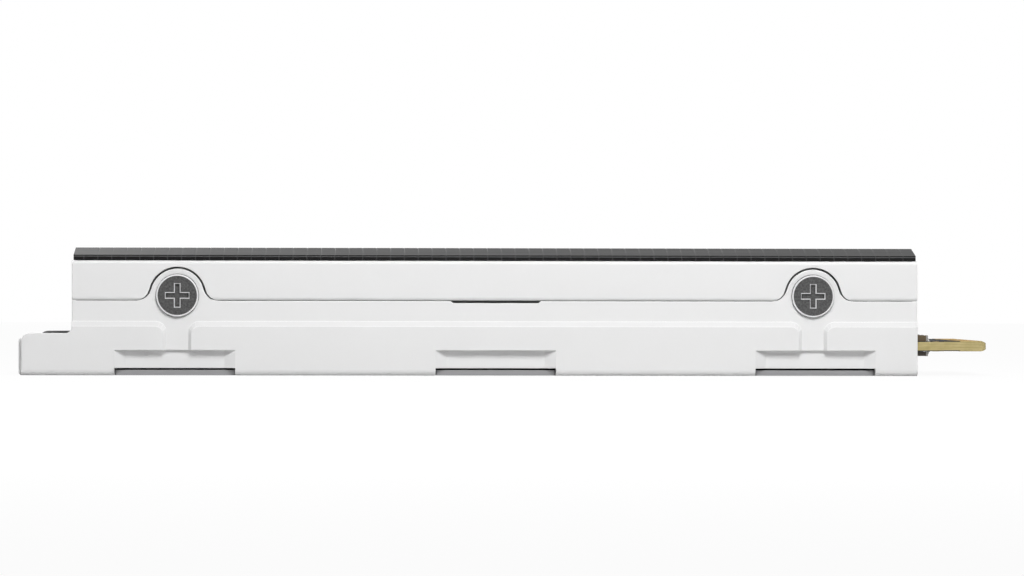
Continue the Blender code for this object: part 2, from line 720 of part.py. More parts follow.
def add_fingers(card, face):
    """Contact fingers of one face; the lower face's lie half a pitch to the side."""
    reach = TONGUE_WIDTH / 2 - FINGER_FROM_EDGE
    if face < 0:
        reach -= FINGER_PITCH / 2
    start = TIP_X - FINGER_FROM_TIP
    end = TIP_X - TIP_BEVEL - SEAT
    size = Matrix.Diagonal((end - start, FINGER_WIDTH, 2 * METAL_RISE, 1.0))
    bm = bmesh.new()
    for index in range(round(2 * reach / FINGER_PITCH) + 1):
        y = index * FINGER_PITCH - reach
        if abs(y - KEY_OFFSET) > KEY_WIDTH / 2 + FINGER_FROM_KEY:
            place = Matrix.Translation(((start + end) / 2, y, card_level(face)))
            bmesh.ops.create_cube(bm, size=1.0, matrix=place @ size)
    combine(card, object_from(bm, "fingers"), "UNION")


def add_land(card, face):
    """Plated half ring that the fixing screw or its post bears on."""
    centre = (CARD_LEFT + LAND_INSET, 0.0)
    outline = arc(centre, LAND_RADIUS - LAND_INSET, -90.0, 90.0, HALF_STEPS)
    outline += arc(centre, SCREW_NOTCH_RADIUS, 90.0, -90.0, HALF_STEPS)
    level = card_level(face)
    combine(card, prism("land", outline, "Z", level - METAL_RISE, level + METAL_RISE), "UNION")


def build_card(material):
    """Circuit card with a bevelled tip, contact fingers and mounting lands."""
    card = prism("circuit_card", card_outline(), "Z", CARD_BOTTOM, CARD_TOP)
    for face in (1, -1):
        level = card_level(face)
        over = level + face * OVERCUT
        wedge = [
            (TIP_X - TIP_BEVEL, level), (TIP_X + TIP_BEVEL, level - face * 2 * TIP_BEVEL_DEPTH),
            (TIP_X + TIP_BEVEL, over), (TIP_X - TIP_BEVEL, over),
        ]
        cut(card, prism("tip_bevel", wedge, "Y", -CARD_WIDTH, CARD_WIDTH))
        add_fingers(card, face)
        add_land(card, face)
    return finish(card, material)


def build_package(name, size, height, place, face, material):
    """Chip package: a thin carrier with the moulded cap set in from its edge."""
    base = card_level(face) + face * SEAT
    sections = []
    for inset, level in ((0.0, 0.0), (0.0, PACKAGE_STEP), (PACKAGE_LIP, PACKAGE_STEP), (PACKAGE_LIP, height)):
        outline = rectangle(place, size[0] - 2 * inset, size[1] - 2 * inset)
        sections.append((outline, base + face * level))
    return finish(loft(name, sections, "Z"), material)


def build_block(name, size, place, edge, material):
    """Small part on the card's upper face, with softened edges."""
    base = CARD_TOP + SEAT
    block = prism(name, rectangle(place, size[0], size[1]), "Z", base, base + size[2])
    bevel_edges(block, edge)
    return finish(block, material)


def build_capacitor(name, x, y, height, face, material):
    """Chip capacitor whose two end caps stand a little proud of its body."""
    base = card_level(face) + face * SEAT
    sections = []
    end = CAPACITOR_LENGTH / 2
    body = end - CAPACITOR_CAP
    stations = (
        (-end, 0.0), (-body, 0.0), (-body, CAPACITOR_CAP_RISE),
        (body, CAPACITOR_CAP_RISE), (body, 0.0), (end, 0.0),
    )
    for along, inset in stations:
        middle = (y, base + face * height / 2)
        outline = rectangle(middle, CAPACITOR_WIDTH - 2 * inset, height - 2 * inset)
        sections.append((outline, x + along))
    return finish(loft(name, sections, "X"), material)


def build_pad(name, low, high, material):
    """Soft thermal pad with rounded upright corners."""
    pad = box(name, low, high)
    bevel_edges(pad, PAD_MARGIN / 2, EDGE_STEPS, is_upright)
    return finish(pad, material)


def capacitor_rows(material):
    """Two rows beside the connector, one on each face of the card."""
    x = TRAY_RIGHT - CAPACITOR_TUCK + CAPACITOR_LENGTH / 2
    reach = CARD_WIDTH / 2 - CAPACITOR_EDGE_GAP - CAPACITOR_WIDTH / 2
    rows = (
        ("upper", UPPER_CAPACITORS, UPPER_CAPACITOR_HEIGHT, 1),
        ("lower", LOWER_CAPACITORS, LOWER_CAPACITOR_HEIGHT, -1),
    )
    for row, count, height, face in rows:
        for index in range(count):
            y = -reach + 2 * reach * index / (count - 1)
            build_capacitor(f"{row}_capacitor_{index + 1}", x, y, height, face, material)


def build_electronics(finishes):
    """Chips, power parts and capacitors on the card."""
    controller_x = TRAY_RIGHT - CONTROLLER_FROM_BODY_END
    flash_x = controller_x - FLASH_FROM_CONTROLLER
    flash = (FLASH_LENGTH, CARD_WIDTH - 2 * FLASH_EDGE_MARGIN)
    power_x = TRAY_RIGHT - POWER_FROM_BODY_END
    chip = finishes["chip"]
    build_package("controller_chip", CONTROLLER, TOP_PACKAGE_HEIGHT, (controller_x, 0.0), 1, chip)
    for index in range(2):
        place = (flash_x - index * FLASH_PITCH, 0.0)
        build_package(f"upper_flash_{index + 1}", flash, TOP_PACKAGE_HEIGHT, place, 1, chip)
        build_package(f"lower_flash_{index + 1}", flash, LOWER_PACKAGE_HEIGHT, place, -1, chip)
    build_block("power_chip", POWER_CHIP, (power_x, POWER_CHIP_SHARE * CARD_WIDTH), SEAT, chip)
    for index, share in enumerate(COIL_SHARES):
        place = (power_x, share * CARD_WIDTH)
        build_block(f"power_coil_{index + 1}", POWER_COIL, place, MOULD_EDGE, finishes["coil"])
    build_block("crystal", CRYSTAL, (power_x, CRYSTAL_SHARE * CARD_WIDTH), MOULD_EDGE, finishes["crystal"])
    filter_x = controller_x - CONTROLLER[0] / 2 - FILTER_FROM_CONTROLLER
    capacitor = finishes["capacitor"]
    for index in range(FILTER_CAPACITORS):
        place = (filter_x, FILTER_PITCH * (index - (FILTER_CAPACITORS - 1) / 2))
        build_block(f"filter_capacitor_{index + 1}", FILTER_CAPACITOR, place, SEAT, capacitor)
    capacitor_rows(capacitor)
    return flash_x


def build_pads(flash_x, material):
    """Upper pad over all the packages, lower pad under the two lower chips."""
    half_width = WALL_INNER - PAD_MARGIN
    flash_end = flash_x - FLASH_PITCH - FLASH_LENGTH / 2
    pad_left = flash_end - PAD_MARGIN
    pad_right = flash_x + FLASH_LENGTH / 2 + PAD_MARGIN
    upper_low = (pad_left, -half_width, CARD_TOP + TOP_PACKAGE_HEIGHT + 2 * SEAT)
    upper_high = (TRAY_RIGHT - PAD_MARGIN, half_width, HEATSINK_BOTTOM - SEAT)
    build_pad("upper_thermal_pad", upper_low, upper_high, material)
    lower_half = RAIL_INNER - PAD_MARGIN
    lower_low = (pad_left, -lower_half, FLOOR_TOP + SEAT)
    lower_high = (pad_right, lower_half, CARD_BOTTOM - LOWER_PACKAGE_HEIGHT - 2 * SEAT)
    build_pad("lower_thermal_pad", lower_low, lower_high, material)


def main():
    """Build every piece of the drive."""
    clear_scene()
    finishes = {
        "white": add_material("white_paint", (0.80, 0.80, 0.80), 0.45, 0.0),
        "black": add_material("black_coating", (0.03, 0.03, 0.032), 0.4, 0.3),
        "grey": add_material("plate_grey", (0.45, 0.45, 0.46), 0.5, 0.4),
        "adhesive": add_material("black_adhesive", (0.01, 0.01, 0.01), 0.8, 0.0),
        "screw": add_material("dark_steel", (0.08, 0.08, 0.085), 0.45, 0.7),
        "card": add_material("card", (0.03, 0.03, 0.035), 0.5, 0.0),
        "chip": add_material("chip_mould", (0.03, 0.03, 0.03), 0.6, 0.0),
        "coil": add_material("coil_grey", (0.12, 0.12, 0.12), 0.6, 0.1),
        "crystal": add_material("crystal_can", (0.65, 0.63, 0.58), 0.3, 0.9),
        "capacitor": add_material("capacitor_brown", (0.12, 0.075, 0.035), 0.5, 0.0),
        "pad": add_material("pad_grey", (0.35, 0.37, 0.42), 0.9, 0.0),
    }
    build_tray(finishes["white"])
    build_heatsink(finishes["white"])
    build_top_plate(finishes["black"])
    build_bottom_plate(finishes["grey"])
    build_adhesive(finishes["adhesive"])
    for side_name, side in SIDES:
        for end_name, screw_x in ENDS:
            build_screw(f"side_screw_{side_name}_{end_name}", screw_x, side, finishes["screw"])
    build_card(finishes["card"])
    flash_x = build_electronics(finishes)
    build_pads(flash_x, finishes["pad"])


main()
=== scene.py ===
# %% [markdown]
# # Dressing a gumstick drive for its photograph
#
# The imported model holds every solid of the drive, in metres and in place. This lesson leaves
# those solids where they are. It gives each of them a finish, swaps a few for finer pieces,
# adds the small metal on the card, and then sets up the floor, the light and the camera.

# %% Load the fixed frame
import math

import bmesh
import bpy
from mathutils import Matrix, Vector


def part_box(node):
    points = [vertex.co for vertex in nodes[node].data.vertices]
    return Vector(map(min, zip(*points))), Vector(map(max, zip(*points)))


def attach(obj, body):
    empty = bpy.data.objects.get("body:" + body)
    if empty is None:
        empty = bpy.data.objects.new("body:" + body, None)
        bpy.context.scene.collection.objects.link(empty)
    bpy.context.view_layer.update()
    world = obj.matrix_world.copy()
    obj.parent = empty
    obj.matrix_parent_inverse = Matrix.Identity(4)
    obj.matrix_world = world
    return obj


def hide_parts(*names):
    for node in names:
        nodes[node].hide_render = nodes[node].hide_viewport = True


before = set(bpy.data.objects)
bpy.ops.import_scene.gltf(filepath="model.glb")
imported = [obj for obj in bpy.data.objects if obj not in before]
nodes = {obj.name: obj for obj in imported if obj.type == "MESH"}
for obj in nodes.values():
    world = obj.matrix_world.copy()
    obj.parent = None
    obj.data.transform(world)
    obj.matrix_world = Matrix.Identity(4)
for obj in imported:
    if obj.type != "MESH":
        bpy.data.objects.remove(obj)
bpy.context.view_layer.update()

MM = 0.001
TINY = 0.004 * MM
print("nodes in the frame:", len(nodes))

# %% [markdown]
# ## Hand tools
#
# Every new piece starts as a primitive and is shaped with the same few moves that a person
# makes at the screen: pick a piece, open it, choose faces by where they look or lie, extrude
# them and scale them. Small helpers keep each of those moves to one line. The loader leaves
# its objects selected, so each helper starts by selecting nothing.

# %% Pick, open and close a piece
def take(piece):
    """Make one piece the only selected one."""
    bpy.ops.object.select_all(action="DESELECT")
    piece.select_set(True)
    bpy.context.view_layer.objects.active = piece
    return piece


def settle(piece):
    """Put a piece's place, turn and size into its mesh, so its object sits at the origin."""
    take(piece)
    bpy.ops.object.transform_apply(location=True, rotation=True, scale=True)
    return piece


def open_piece(piece, kind="FACE"):
    """Go into edit mode with nothing chosen."""
    take(piece)
    bpy.ops.object.mode_set(mode="EDIT")
    bpy.ops.mesh.select_mode(type=kind)
    bpy.ops.mesh.select_all(action="DESELECT")


def close_piece():
    """Go back to object mode."""
    bpy.ops.object.mode_set(mode="OBJECT")


def choose(piece, test, kind="faces"):
    """Choose the faces, edges or verts of the open piece that a test picks."""
    shape = bmesh.from_edit_mesh(piece.data)
    bpy.ops.mesh.select_all(action="DESELECT")
    chosen = 0
    for item in getattr(shape, kind):
        if test(item):
            item.select_set(True)
            chosen += 1
    shape.select_flush_mode()
    bmesh.update_edit_mesh(piece.data)
    return chosen


def pull(move, size=(1.0, 1.0, 1.0), about=(0.0, 0.0, 0.0)):
    """Extrude what is chosen, then scale its new end about a point."""
    bpy.ops.mesh.extrude_region_move(TRANSFORM_OT_translate={"value": move})
    if tuple(size) != (1.0, 1.0, 1.0):
        bpy.ops.transform.resize(value=size, center_override=about)


# %% Start, copy and close off a shape
def start_block(name, low, high):
    """A cube primitive at the size and place of a box."""
    bpy.ops.object.select_all(action="DESELECT")
    middle = [(a + b) / 2 for a, b in zip(low, high)]
    bpy.ops.mesh.primitive_cube_add(size=1.0, location=middle)
    piece = bpy.context.object
    piece.name = name
    piece.scale = [b - a for a, b in zip(low, high)]
    return settle(piece)


def copy_of(piece, name):
    """A copy of a piece with a mesh of its own."""
    take(piece)
    bpy.ops.object.duplicate()
    made = bpy.context.object
    made.name = name
    return made


def joined(pieces, name):
    """Several copies as one piece."""
    bpy.ops.object.select_all(action="DESELECT")
    for piece in pieces:
        piece.select_set(True)
    bpy.context.view_layer.objects.active = pieces[0]
    bpy.ops.object.join()
    made = bpy.context.object
    made.name = name
    return made


def point_out(piece):
    """Turn all faces of a closed shape outwards."""
    open_piece(piece)
    bpy.ops.mesh.select_all(action="SELECT")
    bpy.ops.mesh.remove_doubles(threshold=TINY / 10)
    bpy.ops.mesh.normals_make_consistent(inside=False)
    close_piece()
    return piece


def smooth(piece, degrees=30.0):
    """Smooth the round stretches and keep the real edges crisp."""
    take(piece)
    bpy.ops.object.shade_smooth_by_angle(angle=math.radians(degrees))
    return piece


def hand_over(piece, slot, *stands_for):
    """Let a finished piece ride on the drive, in place of its solids. The slot is not used."""
    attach(piece, "root")
    if stands_for:
        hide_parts(*stands_for)
    print(piece.name, len(piece.data.polygons), "faces")
    return piece


# %% [markdown]
# ## A kit for finishes
#
# A finish is a Principled shader with a few nodes before it. All patterns are read from
# Object coordinates, in metres, so a noise scale of 5000 gives grains of about a fifth of a
# millimetre. The helpers below add one node each and link it.

# %% Node helpers
def begin_finish(name, roughness=0.5, metallic=0.0, specular=0.5, colour=(0.5, 0.5, 0.5)):
    """A new material, its node tree and its shader."""
    material = bpy.data.materials.new(name)
    material.use_nodes = True
    tree = material.node_tree
    shader = tree.nodes["Principled BSDF"]
    shader.inputs["Base Color"].default_value = (*colour, 1.0)
    shader.inputs["Roughness"].default_value = roughness
    shader.inputs["Metallic"].default_value = metallic
    shader.inputs["Specular IOR Level"].default_value = specular
    return material, tree, shader


def add(tree, kind, inputs=(), **settings):
    """One node with its settings; an input is a value or the output that feeds it."""
    node = tree.nodes.new(kind)
    for key, value in settings.items():
        setattr(node, key, value)
    for key, value in dict(inputs).items():
        if isinstance(value, bpy.types.NodeSocket):
            tree.links.new(value, node.inputs[key])
        else:
            node.inputs[key].default_value = value
    return node


def place_of(tree):
    """Object coordinates."""
    return add(tree, "ShaderNodeTexCoord").outputs["Object"]


def axis_of(tree, point, axis):
    """One of the three numbers of a point."""
    return add(tree, "ShaderNodeSeparateXYZ", {"Vector": point}).outputs[axis]


def maths(tree, operation, first, second=0.0, third=0.0, clamp=False):
    """One Math node."""
    node = add(tree, "ShaderNodeMath", {0: first, 1: second, 2: third}, operation=operation)
    node.use_clamp = clamp
    return node.outputs[0]


def grain(tree, point, scale, detail=2.0, stretch=(1.0, 1.0, 1.0)):
    """Noise from 0 to 1, drawn out along an axis if its stretch is small."""
    spread = add(tree, "ShaderNodeMapping", {"Vector": point, "Scale": stretch})
    inputs = {"Vector": spread.outputs["Vector"], "Scale": scale, "Detail": detail}
    return add(tree, "ShaderNodeTexNoise", inputs).outputs["Fac"]


def between(tree, value, low, high):
    """Remap a 0 to 1 value into a range."""
    inputs = {"Value": value, "To Min": low, "To Max": high}
    return add(tree, "ShaderNodeMapRange", inputs).outputs["Result"]


def step_up(tree, value, level, blur=TINY):
    """0 below a level and 1 above it, with a thin soft edge."""
    inputs = {"Value": value, "From Min": level - blur, "From Max": level + blur}
    return add(tree, "ShaderNodeMapRange", inputs, clamp=True).outputs["Result"]


def blend_colours(tree, factor, first, second):
    """Mix two colours, each a colour or an output."""
    node = add(tree, "ShaderNodeMix", data_type="RGBA")
    for index, value in ((0, factor), (6, first), (7, second)):
        if isinstance(value, bpy.types.NodeSocket):
            tree.links.new(value, node.inputs[index])
        elif index:
            node.inputs[index].default_value = (*value, 1.0)
        else:
            node.inputs[index].default_value = value
    return node.outputs[2]


def relief(tree, height, distance, strength=1.0, under=None):
    """Bump from a height, on top of another normal if one is given."""
    inputs = {"Height": height, "Distance": distance, "Strength": strength}
    if under is not None:
        inputs["Normal"] = under
    return add(tree, "ShaderNodeBump", inputs).outputs["Normal"]


def eased_edges(tree, radius):
    """Normal that rounds the sharp edges of a solid a little."""
    return add(tree, "ShaderNodeBevel", {"Radius": radius}, samples=6).outputs["Normal"]


def feed(tree, shader, **sockets):
    """Link outputs to the shader's sockets by name."""
    for key, value in sockets.items():
        tree.links.new(value, shader.inputs[key.replace("_", " ")])


def wear(material, *names):
    """Put a finish on carried over solids."""
    for name in names:
        slots = nodes[name].data.materials
        slots.clear()
        slots.append(material)


# %% [markdown]
# ## The white coat
#
# Tray and heatsink are milled from aluminium, blasted and coated satin white. The coat has a
# very fine peel, hardly any change of tone, and it rounds every edge by a few hundredths of a
# millimetre. Edges that look up and the top edge of the heatsink are painted lighter, a painted
# highlight that draws the two thin bright lines on the ledge. Between the walls a darker grey is
# painted shade. Plain white would look like plastic, so the peel goes into both the bump and the
# roughness.

# %% White coat for the tray and the heatsink
WHITE = (0.775, 0.775, 0.775)
WHITE_SHADE = (0.755, 0.755, 0.755)
# Painted highlight colour for edges that look up and the heatsink's top edge.
PAINTED_HIGHLIGHT_WHITE = (0.93, 0.93, 0.93)
# Painted shade colour for between the walls and deep in the ear recesses.
PAINTED_SHADE_GREY = (0.22, 0.22, 0.222)
COAT_EDGE = 0.1 * MM
ROOM_HALF = 11.12 * MM
ROOM_LOW = 0.99 * MM
ROOM_HIGH = 6.16 * MM
RECESS_HALF = 11.55 * MM
RECESS_HIGH = 9.1 * MM
RECESS_REACH = 30.0 * MM
TOP_EDGE_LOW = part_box("upper_heatsink")[1].z - 0.14 * MM
POCKET_HIGH = 1.98 * MM
POCKET_REACH = 33.0 * MM
END_SLOPE_SHARE = 0.3
GROOVE_HIGH = 4.2 * MM
GROOVE_SLOPE_SHARE = 0.6


def painted_highlight_edges(tree, eased):
    """1 on edges that look up, where a highlight is painted, and 0 on flat stretches."""
    flat = add(tree, "ShaderNodeNewGeometry").outputs["Normal"]
    match = add(tree, "ShaderNodeVectorMath", {0: eased, 1: flat}, operation="DOT_PRODUCT").outputs["Value"]
    inputs = {"Value": match, "From Min": 0.999, "From Max": 0.98}
    turned = add(tree, "ShaderNodeMapRange", inputs, clamp=True).outputs["Result"]
    inputs = {"Value": axis_of(tree, eased, "Z"), "From Min": 0.05, "From Max": 0.3}
    upward = add(tree, "ShaderNodeMapRange", inputs, clamp=True).outputs["Result"]
    return maths(tree, "MULTIPLY", turned, upward)


def step_down(tree, value, level):
    """1 below a level and 0 above it."""
    return maths(tree, "SUBTRACT", 1.0, step_up(tree, value, level))


def all_of(tree, *shares):
    """The product of several shares."""
    whole = shares[0]
    for share in shares[1:]:
        whole = maths(tree, "MULTIPLY", whole, share)
    return whole


def painted_shade_room(tree, point):
    """1 between the tray's walls, under the heatsink's block and deep in its ear recesses, where shade is painted.
    """
    aside = maths(tree, "ABSOLUTE", axis_of(tree, point, "Y"))
    along = maths(tree, "ABSOLUTE", axis_of(tree, point, "X"))
    height = axis_of(tree, point, "Z")
    room = all_of(tree, step_down(tree, aside, ROOM_HALF), step_up(tree, height, ROOM_LOW),
                  step_down(tree, height, ROOM_HIGH))
    recess = all_of(tree, step_down(tree, aside, RECESS_HALF), step_up(tree, height, ROOM_HIGH),
                    step_down(tree, height, RECESS_HIGH), step_down(tree, along, RECESS_REACH))
    return maths(tree, "MAXIMUM", room, recess)


def levelled(tree, point, normal):
    """The normal with its lengthwise tilt eased off in the pockets and the grooves over them."""
    along = maths(tree, "ABSOLUTE", axis_of(tree, point, "X"))
    height = axis_of(tree, point, "Z")
    pocket = all_of(tree, step_down(tree, height, POCKET_HIGH), step_down(tree, along, POCKET_REACH))
    groove = all_of(tree, step_up(tree, height, POCKET_HIGH), step_down(tree, height, GROOVE_HIGH),
                    step_down(tree, along, POCKET_REACH))
    share = maths(tree, "MULTIPLY_ADD", pocket, END_SLOPE_SHARE - 1.0, 1.0)
    share = maths(tree, "MULTIPLY_ADD", groove, GROOVE_SLOPE_SHARE - 1.0, share)
    parts = add(tree, "ShaderNodeSeparateXYZ", {"Vector": normal}).outputs
    tilt = maths(tree, "MULTIPLY", parts["X"], share)
    eased = add(tree, "ShaderNodeCombineXYZ", {"X": tilt, "Y": parts["Y"], "Z": parts["Z"]}).outputs[0]
    return add(tree, "ShaderNodeVectorMath", {0: eased}, operation="NORMALIZE").outputs["Vector"]


def make_white_coat():
    """Satin white coat with a fine peel, a painted highlight on upward edges and painted shade between the walls.
    """
    material, tree, shader = begin_finish("white_coat", roughness=0.42, specular=0.45)
    point = place_of(tree)
    cloud = grain(tree, point, 60.0, 3.0)
    peel = grain(tree, point, 5200.0, 3.0)
    speck = grain(tree, point, 17000.0, 1.0)
    eased = eased_edges(tree, COAT_EDGE)
    colour = blend_colours(tree, cloud, WHITE, WHITE_SHADE)
    # Painted highlight: upward edges and the heatsink's top edge are painted lighter.
    top_edge_highlight = step_up(tree, axis_of(tree, point, "Z"), TOP_EDGE_LOW)
    highlight_share = maths(tree, "MAXIMUM", painted_highlight_edges(tree, eased), top_edge_highlight)
    colour = blend_colours(tree, highlight_share, colour, PAINTED_HIGHLIGHT_WHITE)
    # Painted shade: between the walls and deep in the ear recesses the coat is painted a darker grey.
    colour = blend_colours(tree, painted_shade_room(tree, point), colour, PAINTED_SHADE_GREY)
    bumps = relief(tree, peel, 0.004 * MM, 0.5, levelled(tree, point, eased))
    bumps = relief(tree, speck, 0.0015 * MM, 0.4, bumps)
    feed(tree, shader, Base_Color=colour, Normal=bumps, Roughness=between(tree, peel, 0.36, 0.5))
    return material


white_coat = make_white_coat()
wear(white_coat, "lower_tray", "upper_heatsink")

# %% [markdown]
# ## The dark top plate
#
# The plate on top is a separate dark anodised piece with a slope along both long sides. Fine
# lines run across it at a pitch of a little over a millimetre, and two more run along its
# edge. They could be a bump map, but lines that are cut into the mesh also show in the
# silhouette and in the shape itself. One stretch of the plate, with one cut line, is
# modelled by extruding a block, and an array repeats it along the drive.

# %% Read the plate's own sizes from its solid
plate_low, plate_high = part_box("top_plate")
plate_points = [vertex.co for vertex in nodes["top_plate"].data.vertices]
PLATE_HALF = plate_high.y
PLATE_EASE = 0.03 * MM
TOP_HALF = max(point.y for point in plate_points if point.z > plate_high.z - TINY)
SIDE_TOP = max(point.z for point in plate_points if point.y > plate_high.y - TINY) + PLATE_EASE / 3
print("plate side", round((SIDE_TOP - plate_low.z) / MM, 3), "mm high")

# %% Model one stretch of the plate and repeat it
LINE_PITCH = 1.147 * MM
LINE_COUNT = 59
FIRST_LINE = -34.75 * MM
LINE_WIDTH = 0.11 * MM
LINE_DEPTH = 0.022 * MM
EDGE_LINE_LOW = 0.15 * MM
EDGE_LINE_HIGH = 0.29 * MM
EDGE_LINE_HALF = 0.035 * MM


def plate_stages():
    """Half widths and heights of the plate's cross section, from the bottom up."""
    base = plate_low.z
    full = PLATE_HALF
    stages = [(full - PLATE_EASE, base), (full, base + PLATE_EASE)]
    for line, depth in ((EDGE_LINE_LOW, 0.02 * MM), (EDGE_LINE_HIGH, 0.035 * MM)):
        stages += [
            (full, base + line - EDGE_LINE_HALF), (full - depth, base + line),
            (full, base + line + EDGE_LINE_HALF),
        ]
    stages += [(full, SIDE_TOP - PLATE_EASE), (full - PLATE_EASE, SIDE_TOP)]
    stages += [(TOP_HALF + PLATE_EASE, plate_high.z - PLATE_EASE / 5), (TOP_HALF, plate_high.z)]
    return stages


def model_plate_stretch():
    """One stretch: the flat part, then the slopes of one cut line at its end."""
    stages = plate_stages()
    start = FIRST_LINE + LINE_WIDTH / 2
    end = FIRST_LINE + LINE_PITCH - LINE_WIDTH / 2
    half, height = stages[0]
    next_half, next_height = stages[1]
    stretch = start_block("plate_stretch", (start, -half, height), (end, half, next_height))
    open_piece(stretch)
    choose(stretch, lambda face: face.normal.z > 0.9)
    bpy.ops.transform.resize(value=(1.0, next_half / half, 1.0), center_override=(start, 0.0, 0.0))
    for (half, height), (next_half, next_height) in zip(stages[1:], stages[2:]):
        size = (1.0, next_half / half, 1.0)
        pull((0.0, 0.0, next_height - height), size, (start, 0.0, 0.0))
    tall = plate_high.z - plate_low.z
    middle = (end, 0.0, plate_low.z + tall / 2)
    sunk = (1.0, 1.0 - LINE_DEPTH / PLATE_HALF, 1.0 - 2 * LINE_DEPTH / tall)
    back = [1.0 / value for value in sunk]
    choose(stretch, lambda face: face.normal.x > 0.9)
    pull((LINE_WIDTH / 2, 0.0, 0.0), sunk, middle)
    pull((LINE_WIDTH / 2, 0.0, 0.0), back, middle)
    choose(stretch, lambda face: abs(face.normal.x) > 0.9)
    bpy.ops.mesh.delete(type="FACE")
    close_piece()
    return stretch


def repeat_along(piece, step, count):
    """Array a piece and weld its copies end to end."""
    take(piece)
    array = piece.modifiers.new("repeat", "ARRAY")
    array.use_relative_offset = False
    array.use_constant_offset = True
    array.constant_offset_displace = step
    array.count = count
    array.use_merge_vertices = True
    array.merge_threshold = TINY / 4
    bpy.ops.object.modifier_apply(modifier=array.name)
    return piece


def end_plate(plate, side):
    """Run one end of the plate to its full length and close it with an eased edge."""
    target = plate_high.x if side > 0 else plate_low.x
    open_piece(plate, "EDGE")
    shape = bmesh.from_edit_mesh(plate.data)
    ends = [vertex.co.x for edge in shape.edges if edge.is_boundary for vertex in edge.verts]
    here = max(ends) if side > 0 else min(ends)
    choose(plate, lambda edge: edge.is_boundary and abs(edge.verts[0].co.x - here) < TINY, "edges")
    bpy.ops.mesh.edge_face_add()
    bpy.ops.mesh.select_mode(type="FACE")
    pull((target - side * PLATE_EASE - here, 0.0, 0.0))
    tall = plate_high.z - plate_low.z
    eased = (1.0, 1.0 - PLATE_EASE / PLATE_HALF, 1.0 - 2 * PLATE_EASE / tall)
    pull((side * PLATE_EASE, 0.0, 0.0), eased, (target, 0.0, plate_low.z + tall / 2))
    close_piece()


def model_top_plate():
    """The whole plate with its cut lines."""
    plate = repeat_along(model_plate_stretch(), (LINE_PITCH, 0.0, 0.0), LINE_COUNT)
    plate.name = "top_plate_lined"
    end_plate(plate, 1)
    end_plate(plate, -1)
    return point_out(plate)


top_plate = model_top_plate()

# %% [markdown]
# The finish is a dark anodised skin. Anodising keeps the brushed lines of the metal under it,
# so its roughness has a faint streak along the drive, with a fine grain on top.

# %% Dark anodised skin
DARK_SKIN = (0.004, 0.004, 0.0042)
DARK_SKIN_LIGHT = (0.009, 0.009, 0.0092)
# The next two greys are painted highlights on the sides of the plate.
PAINTED_BAND_HIGHLIGHT = (0.11, 0.11, 0.112)
PAINTED_CUT_HIGHLIGHT = (0.036, 0.036, 0.037)
CUT_HALF = 0.05 * MM
BAND_LOW = plate_low.z + 0.265 * MM
BAND_HIGH = plate_low.z + 0.35 * MM
STREAK = (0.03, 1.0, 1.0)


def plate_side_colour(tree, point, colour):
    """A painted highlight: the sides are painted lighter in a band near their upper edge and in their cuts."""
    aside = maths(tree, "ABSOLUTE", axis_of(tree, point, "Y"))
    side = step_up(tree, aside, PLATE_HALF - 2 * PLATE_EASE)
    height = axis_of(tree, point, "Z")
    highlight_band = all_of(tree, side, step_up(tree, height, BAND_LOW), step_down(tree, height, BAND_HIGH))
    shifted = maths(tree, "SUBTRACT", axis_of(tree, point, "X"), FIRST_LINE - LINE_PITCH / 2)
    within = maths(tree, "WRAP", shifted, LINE_PITCH, 0.0)
    off_line = maths(tree, "ABSOLUTE", maths(tree, "SUBTRACT", within, LINE_PITCH / 2))
    cut = all_of(tree, side, step_down(tree, off_line, CUT_HALF))
    # Painted highlight on the cuts and on a band near the upper edge of the sides.
    colour = blend_colours(tree, cut, colour, PAINTED_CUT_HIGHLIGHT)
    return blend_colours(tree, highlight_band, colour, PAINTED_BAND_HIGHLIGHT)


def make_dark_skin():
    """Dark anodised metal with a faint lengthwise streak."""
    material, tree, shader = begin_finish("dark_skin", roughness=0.4, specular=0.1)
    point = place_of(tree)
    streak = grain(tree, point, 2600.0, 4.0, STREAK)
    fine = grain(tree, point, 14000.0, 2.0)
    bumps = relief(tree, fine, 0.003 * MM, 0.5)
    bumps = relief(tree, streak, 0.002 * MM, 0.4, bumps)
    colour = blend_colours(tree, fine, DARK_SKIN, DARK_SKIN_LIGHT)
    colour = plate_side_colour(tree, point, colour)
    feed(tree, shader, Base_Color=colour, Normal=bumps, Roughness=between(tree, streak, 0.36, 0.48))
    return material


dark_skin = make_dark_skin()
top_plate.data.materials.append(dark_skin)
hand_over(top_plate, "black_coating", "top_plate")

# %% [markdown]
# ## The side screws
#
# Four small flat head screws hold the tray's ears to the heatsink. In the photograph the face
# is a grainy black coat, while the rim and the edges of the cross are bare and bright. So the
# bright parts are real eased edges with a steel finish of their own. The head and shank are
# extruded from one disc, and the cross is cut out with a tapered plus whose top flares, which
# leaves an eased edge. The head stands a trifle proud, so it throws a thin shadow on the ear.

# %% Sizes of a screw from its solid
screw_low, screw_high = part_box("side_screw_near_left")
FACE_RISE = 0.25 * MM
HEAD_RADIUS = (screw_high.x - screw_low.x) / 2 + 0.02 * MM
SCREW_LENGTH = screw_high.y - screw_low.y + FACE_RISE
RIM_DROP = 0.11 * MM
RIM_STRAIGHT = 0.16 * MM + FACE_RISE - RIM_DROP
FACE_RADIUS = 1.62 * MM
SHANK_RADIUS = 1.0 * MM
TIP_EASE = 0.15 * MM
CROSS_SPAN = 1.87 * MM
CROSS_ARM = 0.39 * MM
CROSS_DEPTH = 0.24 * MM
CROSS_TAPER = 0.88
CROSS_EASE = 0.075 * MM
CROSS_OVER = 0.02 * MM
DISC_STEPS = 72
print("screw head", round(2 * HEAD_RADIUS / MM, 2), "mm across")


# %% Model the screw once
def looks_out(face, out):
    """Is this the face at the middle of one side?"""
    middle = face.calc_center_median()
    aside = middle - out * middle.dot(out)
    return face.normal.dot(out) > 0.9 and aside.xy.length < TINY


